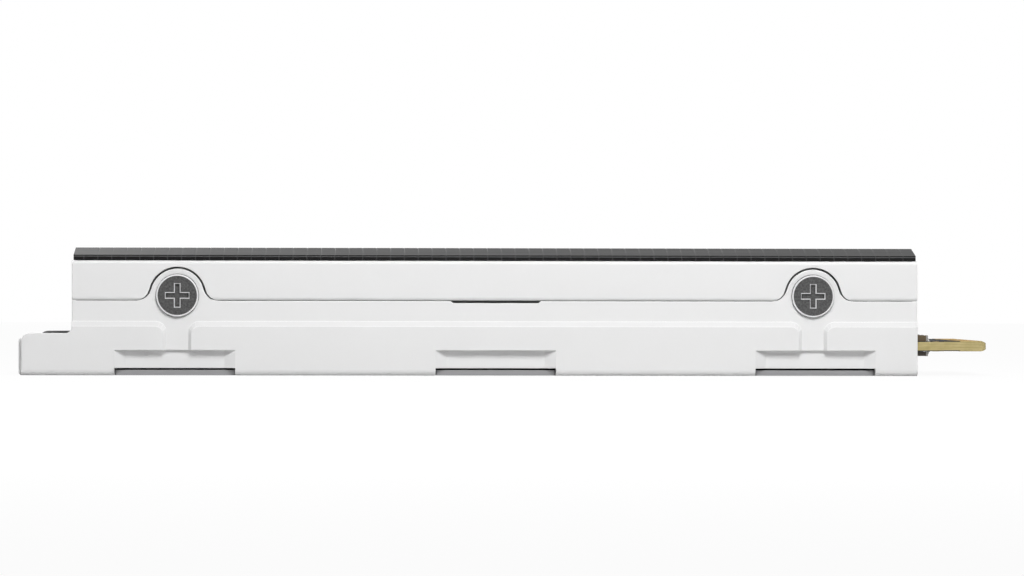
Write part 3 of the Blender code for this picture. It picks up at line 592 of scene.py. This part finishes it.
def model_cross():
    """Tapered plus with a flared top that cuts the driver recess and its eased edge."""
    arm = CROSS_ARM / 2
    cross = start_block("cross", (-arm, -arm, -CROSS_DEPTH), (arm, arm, -CROSS_EASE))
    open_piece(cross)
    for out in (Vector((1, 0, 0)), Vector((-1, 0, 0)), Vector((0, 1, 0)), Vector((0, -1, 0))):
        choose(cross, lambda face: looks_out(face, out))
        pull(out * (CROSS_SPAN - CROSS_ARM) / 2)
    choose(cross, lambda vertex: vertex.co.z < -CROSS_DEPTH + TINY, "verts")
    low = (CROSS_TAPER, CROSS_TAPER, 1.0)
    bpy.ops.transform.resize(value=low, center_override=(0.0, 0.0, -CROSS_DEPTH))
    choose(cross, lambda face: face.normal.z > 0.9)
    flare = CROSS_EASE + CROSS_OVER
    pull((0.0, 0.0, flare))
    for side_x in (1, -1):
        for side_y in (1, -1):
            choose(cross, lambda vertex: vertex.co.z > 0 and vertex.co.x * side_x > 0
                   and vertex.co.y * side_y > 0, "verts")
            bpy.ops.transform.translate(value=(side_x * flare, side_y * flare, 0.0))
    close_piece()
    return cross


def model_screw_body():
    """Head, cone and shank extruded from one disc."""
    bpy.ops.object.select_all(action="DESELECT")
    middle = (0.0, 0.0, -RIM_DROP - RIM_STRAIGHT / 2)
    bpy.ops.mesh.primitive_cylinder_add(
        vertices=DISC_STEPS, radius=HEAD_RADIUS, depth=RIM_STRAIGHT, location=middle)
    screw = settle(bpy.context.object)
    screw.name = "screw"
    open_piece(screw)
    choose(screw, lambda face: face.normal.z > 0.9)
    narrow = FACE_RADIUS / HEAD_RADIUS
    pull((0.0, 0.0, RIM_DROP), (narrow, narrow, 1.0))
    choose(screw, lambda face: face.normal.z < -0.9)
    cone = HEAD_RADIUS - SHANK_RADIUS
    narrow = SHANK_RADIUS / HEAD_RADIUS
    pull((0.0, 0.0, -cone), (narrow, narrow, 1.0))
    pull((0.0, 0.0, -(SCREW_LENGTH - RIM_DROP - RIM_STRAIGHT - cone - TIP_EASE)))
    narrow = 1.0 - TIP_EASE / SHANK_RADIUS
    pull((0.0, 0.0, -TIP_EASE), (narrow, narrow, 1.0))
    close_piece()
    return screw


def cut_cross(screw):
    """Cut the recess."""
    cross = model_cross()
    take(screw)
    cutter = screw.modifiers.new("cross", "BOOLEAN")
    cutter.operation = "DIFFERENCE"
    cutter.solver = "EXACT"
    cutter.object = cross
    bpy.ops.object.modifier_apply(modifier=cutter.name)
    bpy.data.objects.remove(cross, do_unlink=True)


def bare_edges(screw):
    """Give the eased rim and the eased edge of the recess the second finish."""
    bare = 0
    for face in screw.data.polygons:
        sloped = 0.3 < face.normal.z < 0.95
        if sloped and face.center.z > -max(RIM_DROP, CROSS_EASE):
            face.material_index = 1
            bare += 1
    print("bare faces of a screw", bare)


# %% [markdown]
# The black coat is a grainy oxide. The bare edges are smooth steel with a little dulling.

# %% Finishes of the screws
def make_black_oxide():
    """Grainy black coat."""
    material, tree, shader = begin_finish("black_oxide", roughness=0.5, specular=0.5)
    point = place_of(tree)
    coarse = grain(tree, point, 6500.0, 2.0)
    fine = grain(tree, point, 26000.0, 2.0)
    speckle = add(tree, "ShaderNodeMapRange", {"Value": coarse, "From Min": 0.3, "From Max": 0.7}).outputs["Result"]
    colour = blend_colours(tree, speckle, (0.020, 0.020, 0.020), (0.074, 0.074, 0.074))
    bumps = relief(tree, coarse, 0.012 * MM, 0.6, eased_edges(tree, 0.03 * MM))
    bumps = relief(tree, fine, 0.004 * MM, 0.6, bumps)
    feed(tree, shader, Base_Color=colour, Normal=bumps, Roughness=between(tree, coarse, 0.4, 0.65))
    return material


def make_bare_steel():
    """Bright worn steel edge."""
    material, tree, shader = begin_finish("bare_steel", roughness=0.3, metallic=1.0)
    point = place_of(tree)
    dull = grain(tree, point, 4000.0, 3.0)
    colour = blend_colours(tree, dull, (0.90, 0.90, 0.91), (0.74, 0.74, 0.75))
    feed(tree, shader, Base_Color=colour, Roughness=between(tree, dull, 0.22, 0.4))
    return material


black_oxide = make_black_oxide()
bare_steel = make_bare_steel()

# %% Place a copy of the screw over each solid
screw = model_screw_body()
screw.data.materials.append(black_oxide)
screw.data.materials.append(bare_steel)
cut_cross(screw)
bare_edges(screw)
for name in sorted(name for name in nodes if name.startswith("side_screw")):
    low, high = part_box(name)
    side = 1 if low.y > 0 else -1
    placed = copy_of(screw, name + "_turned")
    placed.rotation_euler = (-side * math.pi / 2, 0.0, 0.0)
    face_y = (high.y if side > 0 else low.y) + side * FACE_RISE
    placed.location = ((low.x + high.x) / 2, face_y, (low.z + high.z) / 2)
    smooth(point_out(settle(placed)), 25.0)
    hand_over(placed, "dark_steel", name)
bpy.data.objects.remove(screw, do_unlink=True)

# %% [markdown]
# ## The card
#
# The card is a glass and resin laminate, tan where its edge is cut, with a dark mask on both
# faces and gold on the contact fingers and on the ring round the mounting notch. All three
# are on one solid, so its finish has to tell them apart by place: gold is what stands proud
# of the faces, the mask is a thin layer that stops short of the fingers, and what is left is
# laminate. The cut edge shows the pressed layers as fine lines.

# %% Levels of the card
card_low, card_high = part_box("circuit_card")
METAL_RISE = 0.03 * MM
CARD_TOP = card_high.z - METAL_RISE
CARD_BOTTOM = card_low.z + METAL_RISE
MASK_SHOWS_TOP = 0.03 * MM
MASK_SHOWS_BOTTOM = 0.06 * MM
MASK_END = card_high.x - 2.2 * MM
GOLD = (0.48, 0.335, 0.14)
EDGE_TINT = (0.03, 0.02, 0.01, 1.0)
MASK = (0.030, 0.030, 0.034)
LAMINATE_LIGHT = (0.57, 0.48, 0.25)
LAMINATE_DARK = (0.38, 0.315, 0.135)
print("card from", round(CARD_BOTTOM / MM, 3), "to", round(CARD_TOP / MM, 3), "mm")


def make_card_finish():
    """Laminate, mask and gold on one solid."""
    material, tree, shader = begin_finish("card_layers", roughness=0.6, specular=0.15)
    shader.inputs["Specular Tint"].default_value = EDGE_TINT
    point = place_of(tree)
    x = axis_of(tree, point, "X")
    z = axis_of(tree, point, "Z")
    layers = grain(tree, point, 9000.0, 3.0, (0.04, 0.04, 1.0))
    threads = grain(tree, point, 2200.0, 2.0, (0.5, 0.5, 1.0))
    mixed = maths(tree, "MULTIPLY_ADD", layers, 0.65, maths(tree, "MULTIPLY", threads, 0.35))
    inputs = {"Value": mixed, "From Min": 0.32, "From Max": 0.68}
    spread = add(tree, "ShaderNodeMapRange", inputs, clamp=True).outputs["Result"]
    laminate = blend_colours(tree, spread, LAMINATE_DARK, LAMINATE_LIGHT)
    high_mask = step_up(tree, z, CARD_TOP - MASK_SHOWS_TOP)
    low_mask = maths(tree, "SUBTRACT", 1.0, step_up(tree, z, CARD_BOTTOM + MASK_SHOWS_BOTTOM))
    covered = maths(tree, "MAXIMUM", high_mask, low_mask)
    short_of_fingers = maths(tree, "SUBTRACT", 1.0, step_up(tree, x, MASK_END))
    masked = maths(tree, "MULTIPLY", covered, short_of_fingers)
    proud_top = step_up(tree, z, CARD_TOP + METAL_RISE / 3, TINY / 4)
    proud_bottom = maths(tree, "SUBTRACT", 1.0, step_up(tree, z, CARD_BOTTOM - METAL_RISE / 3, TINY / 4))
    gilt = maths(tree, "MAXIMUM", proud_top, proud_bottom)
    colour = blend_colours(tree, masked, laminate, MASK)
    colour = blend_colours(tree, gilt, colour, GOLD)
    fine = grain(tree, point, 7000.0, 2.0)
    roughness = between(tree, fine, 0.56, 0.7)
    roughness = maths(tree, "SUBTRACT", roughness, maths(tree, "MULTIPLY", gilt, 0.1))
    bumps = relief(tree, mixed, 0.006 * MM, 0.5)
    feed(tree, shader, Base_Color=colour, Roughness=roughness, Normal=bumps,
         Metallic=maths(tree, "MULTIPLY", gilt, 0.65))
    return material


card_finish = make_card_finish()
wear(card_finish, "circuit_card")

# %% [markdown]
# ## Traces, vias and test points
#
# Between the body and the fingers the mask runs over copper: a trace leads back from each
# finger, and small plated holes stitch the two faces together. They are only hundredths of a
# millimetre high, but they catch the light when the card is seen from above or below. One of
# each is modelled from a block or a disc, and copies or an array make the rest.

# %% Finishes for mask over copper, gold and tin
def make_mask_finish():
    """Dark mask, slightly glossy, over copper."""
    material, tree, shader = begin_finish("mask_over_copper", roughness=0.6, specular=0.15)
    point = place_of(tree)
    fine = grain(tree, point, 7000.0, 2.0)
    colour = blend_colours(tree, fine, (0.036, 0.037, 0.042), (0.050, 0.050, 0.055))
    feed(tree, shader, Base_Color=colour, Roughness=between(tree, fine, 0.54, 0.68))
    return material


def make_plating(name, light, dark, low, high):
    """Plated metal with a faint cloud."""
    material, tree, shader = begin_finish(name, roughness=low, metallic=1.0)
    point = place_of(tree)
    cloud = grain(tree, point, 2500.0, 4.0)
    colour = blend_colours(tree, cloud, light, dark)
    bumps = relief(tree, grain(tree, point, 11000.0, 2.0), 0.003 * MM, 0.5)
    feed(tree, shader, Base_Color=colour, Roughness=between(tree, cloud, low, high), Normal=bumps)
    return material


mask_finish = make_mask_finish()
gold_plate = make_plating("gold_plate", GOLD, (0.72, 0.50, 0.19), 0.22, 0.36)
tin_plate = make_plating("tin_plate", (0.36, 0.36, 0.35), (0.26, 0.26, 0.25), 0.5, 0.65)

# %% Traces from the fingers to the body
tray_low, tray_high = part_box("lower_tray")
FINGER_PITCH = 0.5 * MM
FINGER_REACH = 9.25 * MM
BEFORE_KEY = 4.75 * MM
AFTER_KEY = 7.25 * MM
TRACE_WIDTH = 0.19 * MM
TRACE_RISE = 0.014 * MM
TRACE_START = tray_high.x - 1.0 * MM
TRACE_END = card_high.x - 2.15 * MM


def model_traces(name, face, first, last):
    """Straight traces side by side on one face, from the first to the last place across."""
    level = CARD_TOP if face > 0 else CARD_BOTTOM
    half = TRACE_WIDTH / 2
    low, high = sorted((level, level + face * TRACE_RISE))
    trace = start_block(name, (TRACE_START, first - half, low), (TRACE_END, first + half, high))
    open_piece(trace, "EDGE")
    choose(trace, lambda edge: all(abs(vertex.co.z - level) > TINY for vertex in edge.verts), "edges")
    bpy.ops.mesh.bevel(offset=TRACE_RISE * 0.6, segments=1, affect="EDGES")
    close_piece()
    count = round((last - first) / FINGER_PITCH) + 1
    return repeat_along(trace, (0.0, FINGER_PITCH, 0.0), count)


for face, word, shift in ((1, "upper", 0.0), (-1, "lower", FINGER_PITCH / 2)):
    reach = FINGER_REACH - shift
    before = model_traces("traces", face, -reach, BEFORE_KEY + shift)
    after = model_traces("traces", face, AFTER_KEY + shift, reach)
    traces = point_out(joined([before, after], word + "_traces"))
    traces.data.materials.append(mask_finish)
    hand_over(traces, "card")

# %% Plated holes and test points
VIA_RADIUS = 0.22 * MM
VIA_HOLE = 0.5
VIA_RISE = 0.02 * MM
VIA_STEPS = 16


def model_via():
    """Plated ring with a shallow hole, lying on the level z = 0."""
    bpy.ops.object.select_all(action="DESELECT")
    bpy.ops.mesh.primitive_cylinder_add(
        vertices=VIA_STEPS, radius=VIA_RADIUS, depth=VIA_RISE, location=(0.0, 0.0, VIA_RISE / 2))
    via = settle(bpy.context.object)
    open_piece(via)
    choose(via, lambda face: face.normal.z > 0.9)
    pull((0.0, 0.0, 0.0), (0.9, 0.9, 1.0), (0.0, 0.0, VIA_RISE))
    pull((0.0, 0.0, 0.0), (VIA_HOLE, VIA_HOLE, 1.0), (0.0, 0.0, VIA_RISE))
    pull((0.0, 0.0, -VIA_RISE * 0.8), (0.92, 0.92, 1.0), (0.0, 0.0, 0.0))
    close_piece()
    return via


def scatter(model, name, places, slot, finish):
    """Copies of a small piece at places on either face of the card, as one piece."""
    copies = []
    for x, y, face, size in places:
        made = copy_of(model, name)
        made.rotation_euler = (0.0 if face > 0 else math.pi, 0.0, 0.0)
        made.scale = (size, size, 1.0)
        made.location = (x, y, CARD_TOP if face > 0 else CARD_BOTTOM)
        copies.append(settle(made))
    piece = smooth(point_out(joined(copies, name)))
    piece.data.materials.clear()
    piece.data.materials.append(finish)
    return hand_over(piece, slot)


NOTCH_X = card_low.x
STITCH_RADIUS = 3.15 * MM
stitch_places = []
for face in (1, -1):
    for degrees in (-66, -44, -22, 0, 22, 44, 66):
        angle = math.radians(degrees)
        x = NOTCH_X + STITCH_RADIUS * math.cos(angle)
        stitch_places.append((x, STITCH_RADIUS * math.sin(angle), face, 0.8))
via_model = model_via()
scatter(via_model, "notch_stitching", stitch_places, "card", gold_plate)
TEST_X = tray_high.x + 1.72 * MM
test_places = [(TEST_X, y * MM, face, 1.35) for face in (1, -1) for y in (-10.3, 10.3, 6.1)]
scatter(via_model, "test_points", test_places, "card", gold_plate)
bpy.data.objects.remove(via_model, do_unlink=True)

# %% [markdown]
# ## Capacitors and their solder
#
# Rows of chip capacitors stand beside the connector. A capacitor is a brown ceramic block
# with tinned ends, and a little slope of solder joins each end to its pad. The solids have
# the two ends a trifle proud, so the finish tells ceramic from tin by the place along the
# drive, and the solder is a small wedge at each outer end.

# %% Ceramic with tinned ends
CAP_END = 0.17 * MM


CERAMIC = ((0.105, 0.072, 0.030), (0.072, 0.047, 0.019))
# The lower row is painted a darker brown, as painted shade under the card.
LOWER_CERAMIC_IN_PAINTED_SHADE = ((0.036, 0.024, 0.012), (0.022, 0.014, 0.007))


def make_capacitor_finish(name, axis, low, high, ceramic_pair=CERAMIC):
    """Brown ceramic between two tinned ends along one axis."""
    material, tree, shader = begin_finish(name, roughness=0.4, specular=0.5)
    point = place_of(tree)
    along = axis_of(tree, point, axis)
    first = maths(tree, "SUBTRACT", 1.0, step_up(tree, along, low + CAP_END))
    tinned = maths(tree, "MAXIMUM", first, step_up(tree, along, high - CAP_END))
    fine = grain(tree, point, 9000.0, 3.0)
    ceramic = blend_colours(tree, fine, *ceramic_pair)
    tin = blend_colours(tree, fine, (0.30, 0.295, 0.28), (0.20, 0.195, 0.185))
    colour = blend_colours(tree, tinned, ceramic, tin)
    bumps = relief(tree, fine, 0.006 * MM, 0.6, eased_edges(tree, 0.03 * MM))
    feed(tree, shader, Base_Color=colour, Metallic=tinned, Normal=bumps,
         Roughness=between(tree, fine, 0.3, 0.5))
    return material


row_low, row_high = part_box("upper_capacitor_1")
rows = []
# The lower row gets the darker pair, which is painted shade.
for word, pair in (("upper", CERAMIC), ("lower", LOWER_CERAMIC_IN_PAINTED_SHADE)):
    row = sorted(name for name in nodes if name.startswith(word + "_capacitor"))
    wear(make_capacitor_finish(word + "_row_layers", "X", row_low.x, row_high.x, pair), *row)
    rows += row
for name in sorted(name for name in nodes if name.startswith("filter_capacitor")):
    low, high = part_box(name)
    wear(make_capacitor_finish(name + "_layers", "Y", low.y, high.y), name)

# %% Solder wedges at the ends of the rows
PAD_LONG = 0.16 * MM
PAD_RISE = 0.03 * MM
SOLDER_CLIMB = 0.3 * MM


def model_solder(width):
    """A tinned pad with a hollow slope of solder, its tall side at x = 0 and its foot at z = 0."""
    solder = start_block("solder", (0.0, -width / 2, 0.0), (PAD_LONG, width / 2, PAD_RISE))
    open_piece(solder)
    choose(solder, lambda face: face.normal.z > 0.9)
    pull((0.0, 0.0, (SOLDER_CLIMB - PAD_RISE) * 0.3), (0.5, 0.9, 1.0), (0.0, 0.0, 0.0))
    pull((0.0, 0.0, (SOLDER_CLIMB - PAD_RISE) * 0.7), (0.3, 0.9, 1.0), (0.0, 0.0, 0.0))
    close_piece()
    return solder


def solder_rows(names, name):
    """One wedge at each end of every capacitor."""
    low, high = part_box(names[0])
    model = model_solder((high.y - low.y) * 0.94)
    copies = []
    for each in names:
        low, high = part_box(each)
        face = 1 if low.z > CARD_BOTTOM else -1
        for end, x in ((1, high.x), (-1, low.x)):
            made = copy_of(model, name)
            made.scale = (end, 1.0, face)
            made.location = (x, (low.y + high.y) / 2, CARD_TOP if face > 0 else CARD_BOTTOM)
            copies.append(settle(made))
    bpy.data.objects.remove(model, do_unlink=True)
    piece = smooth(point_out(joined(copies, name)), 50.0)
    piece.data.materials.append(tin_plate)
    return hand_over(piece, "capacitor_brown")


solder_rows(rows, "row_solder")

# %% [markdown]
# ## Chips, coils and the crystal
#
# These sit under the heatsink and show only through the open ends. Moulded packages are
# matte with tiny bright filler grains, their thin carrier is dark laminate, coils are pressed
# grey powder, and the crystal is a lidded can of nickel.

# %% Finishes of the parts under the heatsink
def make_mould_finish(name, dark, light, carrier_from, carrier_to):
    """Moulded package whose thin carrier lies between two levels."""
    material, tree, shader = begin_finish(name, roughness=0.6, specular=0.4)
    point = place_of(tree)
    filler = grain(tree, point, 12000.0, 3.0)
    z = axis_of(tree, point, "Z")
    above = step_up(tree, z, carrier_from)
    below = maths(tree, "SUBTRACT", 1.0, step_up(tree, z, carrier_to))
    carrier = maths(tree, "MULTIPLY", above, below)
    colour = blend_colours(tree, filler, dark, light)
    colour = blend_colours(tree, carrier, colour, (0.035, 0.055, 0.040))
    bumps = relief(tree, filler, 0.01 * MM, 0.5, eased_edges(tree, 0.04 * MM))
    feed(tree, shader, Base_Color=colour, Normal=bumps, Roughness=between(tree, filler, 0.5, 0.72))
    return material


CARRIER = 0.25 * MM
upper_mould = make_mould_finish(
    "upper_mould", (0.020, 0.020, 0.021), (0.045, 0.045, 0.047), CARD_TOP, CARD_TOP + CARRIER)
lower_mould = make_mould_finish(
    "lower_mould", (0.020, 0.020, 0.021), (0.045, 0.045, 0.047), CARD_BOTTOM - CARRIER, CARD_BOTTOM)
coil_finish = make_mould_finish(
    "coil_powder", (0.090, 0.092, 0.095), (0.16, 0.16, 0.165), CARD_TOP, CARD_TOP)
can_finish = make_plating("nickel_can", (0.70, 0.68, 0.62), (0.56, 0.54, 0.49), 0.24, 0.38)
wear(upper_mould, "controller_chip", "power_chip", "upper_flash_1", "upper_flash_2")
wear(lower_mould, "lower_flash_1", "lower_flash_2")
wear(coil_finish, "power_coil_1", "power_coil_2", "power_coil_3")
wear(can_finish, "crystal")

# %% [markdown]
# ## Thermal pads
#
# A soft silicone pad fills the gap over the chips and another lies under the lower pair. A
# pad that is squeezed between two faces bulges at its free sides, so each is built anew from
# a block whose side is pulled out in the middle, with rounded corners. It keeps to the room
# that its solid holds.

# %% Model a squeezed pad
PAD_BULGE = 0.18 * MM
PAD_CORNER = 0.9 * MM


def model_pad(name):
    """A slab whose free sides bulge, in the box of its solid."""
    low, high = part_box(name)
    tall = high.z - low.z
    start = (low.x + PAD_BULGE, low.y + PAD_BULGE, low.z)
    end = (high.x - PAD_BULGE, high.y - PAD_BULGE, low.z + tall * 0.2)
    pad = start_block(name + "_soft", start, end)
    centre = ((low.x + high.x) / 2, (low.y + high.y) / 2, 0.0)
    long_half = (end[0] - start[0]) / 2
    wide_half = (end[1] - start[1]) / 2
    open_piece(pad)
    choose(pad, lambda face: face.normal.z > 0.9)
    grow = (1.0 + PAD_BULGE / long_half, 1.0 + PAD_BULGE / wide_half, 1.0)
    shrink = [1.0 / value for value in grow]
    bpy.ops.transform.resize(value=[math.sqrt(value) for value in grow], center_override=centre)
    pull((0.0, 0.0, tall * 0.3), [math.sqrt(value) for value in grow], centre)
    pull((0.0, 0.0, tall * 0.3), [math.sqrt(value) for value in shrink], centre)
    pull((0.0, 0.0, tall * 0.2), [math.sqrt(value) for value in shrink], centre)
    close_piece()
    open_piece(pad, "EDGE")

    def upright(edge):
        first, second = edge.verts
        run = (first.co - second.co)
        corner = abs(run.z) > abs(run.x) and abs(run.z) > abs(run.y) * 0.9
        return corner and abs(run.z) > TINY

    choose(pad, upright, "edges")
    bpy.ops.mesh.bevel(offset=PAD_CORNER, segments=5, affect="EDGES")
    close_piece()
    return smooth(point_out(pad), 60.0)


def make_pad_finish():
    """Soft blue grey silicone with a fine filler."""
    material, tree, shader = begin_finish("silicone_pad", roughness=0.8, specular=0.3)
    point = place_of(tree)
    filler = grain(tree, point, 6000.0, 4.0)
    waves = grain(tree, point, 900.0, 2.0)
    colour = blend_colours(tree, filler, (0.30, 0.32, 0.37), (0.40, 0.42, 0.47))
    bumps = relief(tree, waves, 0.05 * MM, 0.5)
    bumps = relief(tree, filler, 0.01 * MM, 0.6, bumps)
    feed(tree, shader, Base_Color=colour, Normal=bumps, Roughness=between(tree, filler, 0.7, 0.9))
    return material


pad_finish = make_pad_finish()
for name in ("upper_thermal_pad", "lower_thermal_pad"):
    pad = model_pad(name)
    pad.data.materials.append(pad_finish)
    hand_over(pad, "pad_grey", name)

# %% [markdown]
# ## The underside
#
# A plain sheet closes the underside, brushed along the drive, and a black sheet of foam
# adhesive holds it. The brushing is a noise that is drawn out along X. A faint cloud of tone
# breaks it up.

# %% Finishes of the underside
def make_brushed_sheet():
    """Grey sheet, brushed along the drive."""
    material, tree, shader = begin_finish("brushed_sheet", roughness=0.4, metallic=0.5)
    point = place_of(tree)
    brushed = grain(tree, point, 9000.0, 5.0, (0.012, 1.0, 1.0))
    cloud = grain(tree, point, 90.0, 3.0)
    colour = blend_colours(tree, brushed, (0.25, 0.25, 0.255), (0.29, 0.29, 0.295))
    colour = blend_colours(tree, maths(tree, "MULTIPLY", cloud, 0.3), colour, (0.27, 0.27, 0.28))
    bumps = relief(tree, brushed, 0.0012 * MM, 0.35, eased_edges(tree, 0.04 * MM))
    feed(tree, shader, Base_Color=colour, Normal=bumps, Roughness=between(tree, brushed, 0.32, 0.5))
    return material


def make_foam_finish():
    """Black foam adhesive with open grain."""
    material, tree, shader = begin_finish("foam_adhesive", roughness=0.9, specular=0.0)
    point = place_of(tree)
    pores = grain(tree, point, 15000.0, 3.0)
    colour = blend_colours(tree, pores, (0.002, 0.002, 0.002), (0.007, 0.007, 0.007))
    feed(tree, shader, Base_Color=colour, Normal=relief(tree, pores, 0.01 * MM, 0.7))
    return material


wear(make_brushed_sheet(), "bottom_plate")
wear(make_foam_finish(), "bottom_adhesive")

# %% [markdown]
# ## Floor and sky
#
# The photograph shows pure white all round and hardly a shadow. The rounded lower edges are
# light in it, so much of the light comes up from the floor, and only a little from the sky.
# The floor is white for the camera and for reflections, and a light grey for the light that
# it bounces. A light mix of real shading keeps the drive's soft shadow on it.

# %% Floor that looks white
FLOOR_SIZE = 1.2
FLOOR_GREY = 0.67
FLOOR_WHITE_SHARE = 0.94


def seen_directly(tree):
    """1 for what the camera sees, also in a mirror or through glass, and 0 for plain light."""
    ways = add(tree, "ShaderNodeLightPath").outputs
    mirrored = maths(tree, "MAXIMUM", ways["Is Glossy Ray"], ways["Is Transmission Ray"])
    return maths(tree, "MAXIMUM", ways["Is Camera Ray"], mirrored)


def make_floor_finish():
    """White to the camera, light grey to the bounced light."""
    material = bpy.data.materials.new("studio_floor")
    material.use_nodes = True
    tree = material.node_tree
    tree.nodes.clear()
    seen = seen_directly(tree)
    shaded = add(tree, "ShaderNodeBsdfDiffuse", {"Color": (FLOOR_GREY, FLOOR_GREY, FLOOR_GREY, 1.0)})
    white = add(tree, "ShaderNodeEmission", {"Color": (1.0, 1.0, 1.0, 1.0), "Strength": 1.0})
    pale = add(tree, "ShaderNodeBsdfDiffuse", {"Color": (0.95, 0.95, 0.95, 1.0)})
    bright = add(tree, "ShaderNodeMixShader", {0: FLOOR_WHITE_SHARE, 1: pale.outputs[0], 2: white.outputs[0]})
    chosen = add(tree, "ShaderNodeMixShader", {0: seen, 1: shaded.outputs[0], 2: bright.outputs[0]})
    end = add(tree, "ShaderNodeOutputMaterial")
    tree.links.new(chosen.outputs[0], end.inputs["Surface"])
    return material


bpy.ops.object.select_all(action="DESELECT")
bpy.ops.mesh.primitive_plane_add(size=FLOOR_SIZE, location=(0.0, 0.0, 0.0))
floor = bpy.context.object
floor.name = "studio_floor"
floor.data.materials.append(make_floor_finish())

# %% Sky
SKY_SEEN = 1.0
SKY_LIGHT = 0.10


def make_sky():
    """White for the camera and for reflections, softer as a light."""
    world = bpy.data.worlds.new("studio_sky")
    bpy.context.scene.world = world
    world.use_nodes = True
    tree = world.node_tree
    tree.nodes.clear()
    strength = between(tree, seen_directly(tree), SKY_LIGHT, SKY_SEEN)
    light = add(tree, "ShaderNodeBackground", {"Color": (1.0, 1.0, 1.0, 1.0), "Strength": strength})
    end = add(tree, "ShaderNodeOutputWorld")
    tree.links.new(light.outputs[0], end.inputs["Surface"])


make_sky()

# %% [markdown]
# ## Lamps
#
# The level top of each pocket throws a shadow on the pocket's floor. It is about as long as the
# pocket is deep, with a soft end, so the main lamp stands some 38 degrees high and looks about
# 20 degrees wide. Slopes that face the middle are the lighter ones at both ends of the drive,
# and the side fades a little to the left. So this lamp stands close by, a little to the right
# of the middle. A weak lamp fills from the camera's side, and a low lamp behind and to the left
# puts the soft sheen on the slope of the dark plate, which fades from left to right. One more
# lamp hangs high behind the drive and one stands low off the connector, so that the back, the
# top and that end are lit too. The lamps themselves stay out of every picture.

# %% Soft lamps
def add_lamp(name, place, target, size, power):
    """A square soft lamp that looks at a target."""
    bpy.ops.object.select_all(action="DESELECT")
    bpy.ops.object.light_add(type="AREA", location=place)
    lamp = bpy.context.object
    lamp.name = name
    lamp.data.shape = "SQUARE"
    lamp.data.size = size
    lamp.data.energy = power
    lamp.visible_camera = False
    lamp.rotation_euler = (Vector(target) - Vector(place)).to_track_quat("-Z", "Y").to_euler()
    return lamp


add_lamp("key_front", (0.024, -0.18, 0.145), (0.0, 0.0, 0.0), 0.086, 0.43)
add_lamp("fill_front", (0.0, -1.3, 0.1), (0.0, 0.0, 0.0), 0.8, 0.2)
add_lamp("back_sheen", (-0.35, 1.0, 0.42), (0.0, 0.0, 0.0), 0.5, 1.9)
add_lamp("fill_back", (-0.35, 0.85, 1.25), (0.0, 0.0, 0.0), 0.6, 7.0)
add_lamp("fill_end", (0.9, 0.3, 0.25), (0.0, 0.0, 0.0), 0.5, 1.6)

# %% [markdown]
# ## Camera
#
# The drive was photographed almost straight from its long side, from a little to the left and
# at about the height of the card, with a long lens. Distance, lens and angles were worked out
# from the widths of the near and far parts in the picture.

# %% Camera at the photograph's angle
LENS = 165.95
SENSOR = 36.0
CAMERA_PLACE = Vector((-12.73, -401.17, 7.134)) * MM
YAW = math.radians(1.948)
PITCH = math.radians(0.0154)
ROLL = math.radians(0.0874)


def add_camera():
    """Camera from its place and its three small angles."""
    bpy.ops.object.select_all(action="DESELECT")
    bpy.ops.object.camera_add(location=CAMERA_PLACE)
    camera = bpy.context.object
    camera.name = "photo_camera"
    camera.data.lens = LENS
    camera.data.sensor_width = SENSOR
    camera.data.clip_start = 0.01
    forward = Vector((math.sin(YAW) * math.cos(PITCH), math.cos(YAW) * math.cos(PITCH), math.sin(PITCH)))
    right = Vector((math.cos(YAW), -math.sin(YAW), 0.0))
    up = right.cross(forward)
    turned_right = right * math.cos(ROLL) + up * math.sin(ROLL)
    turned_up = up * math.cos(ROLL) - right * math.sin(ROLL)
    turn = Matrix((turned_right, turned_up, -forward)).transposed()
    camera.matrix_world = Matrix.Translation(CAMERA_PLACE) @ turn.to_4x4()
    bpy.context.scene.camera = camera
    return camera


add_camera()
bpy.context.scene.view_settings.view_transform = "Standard"
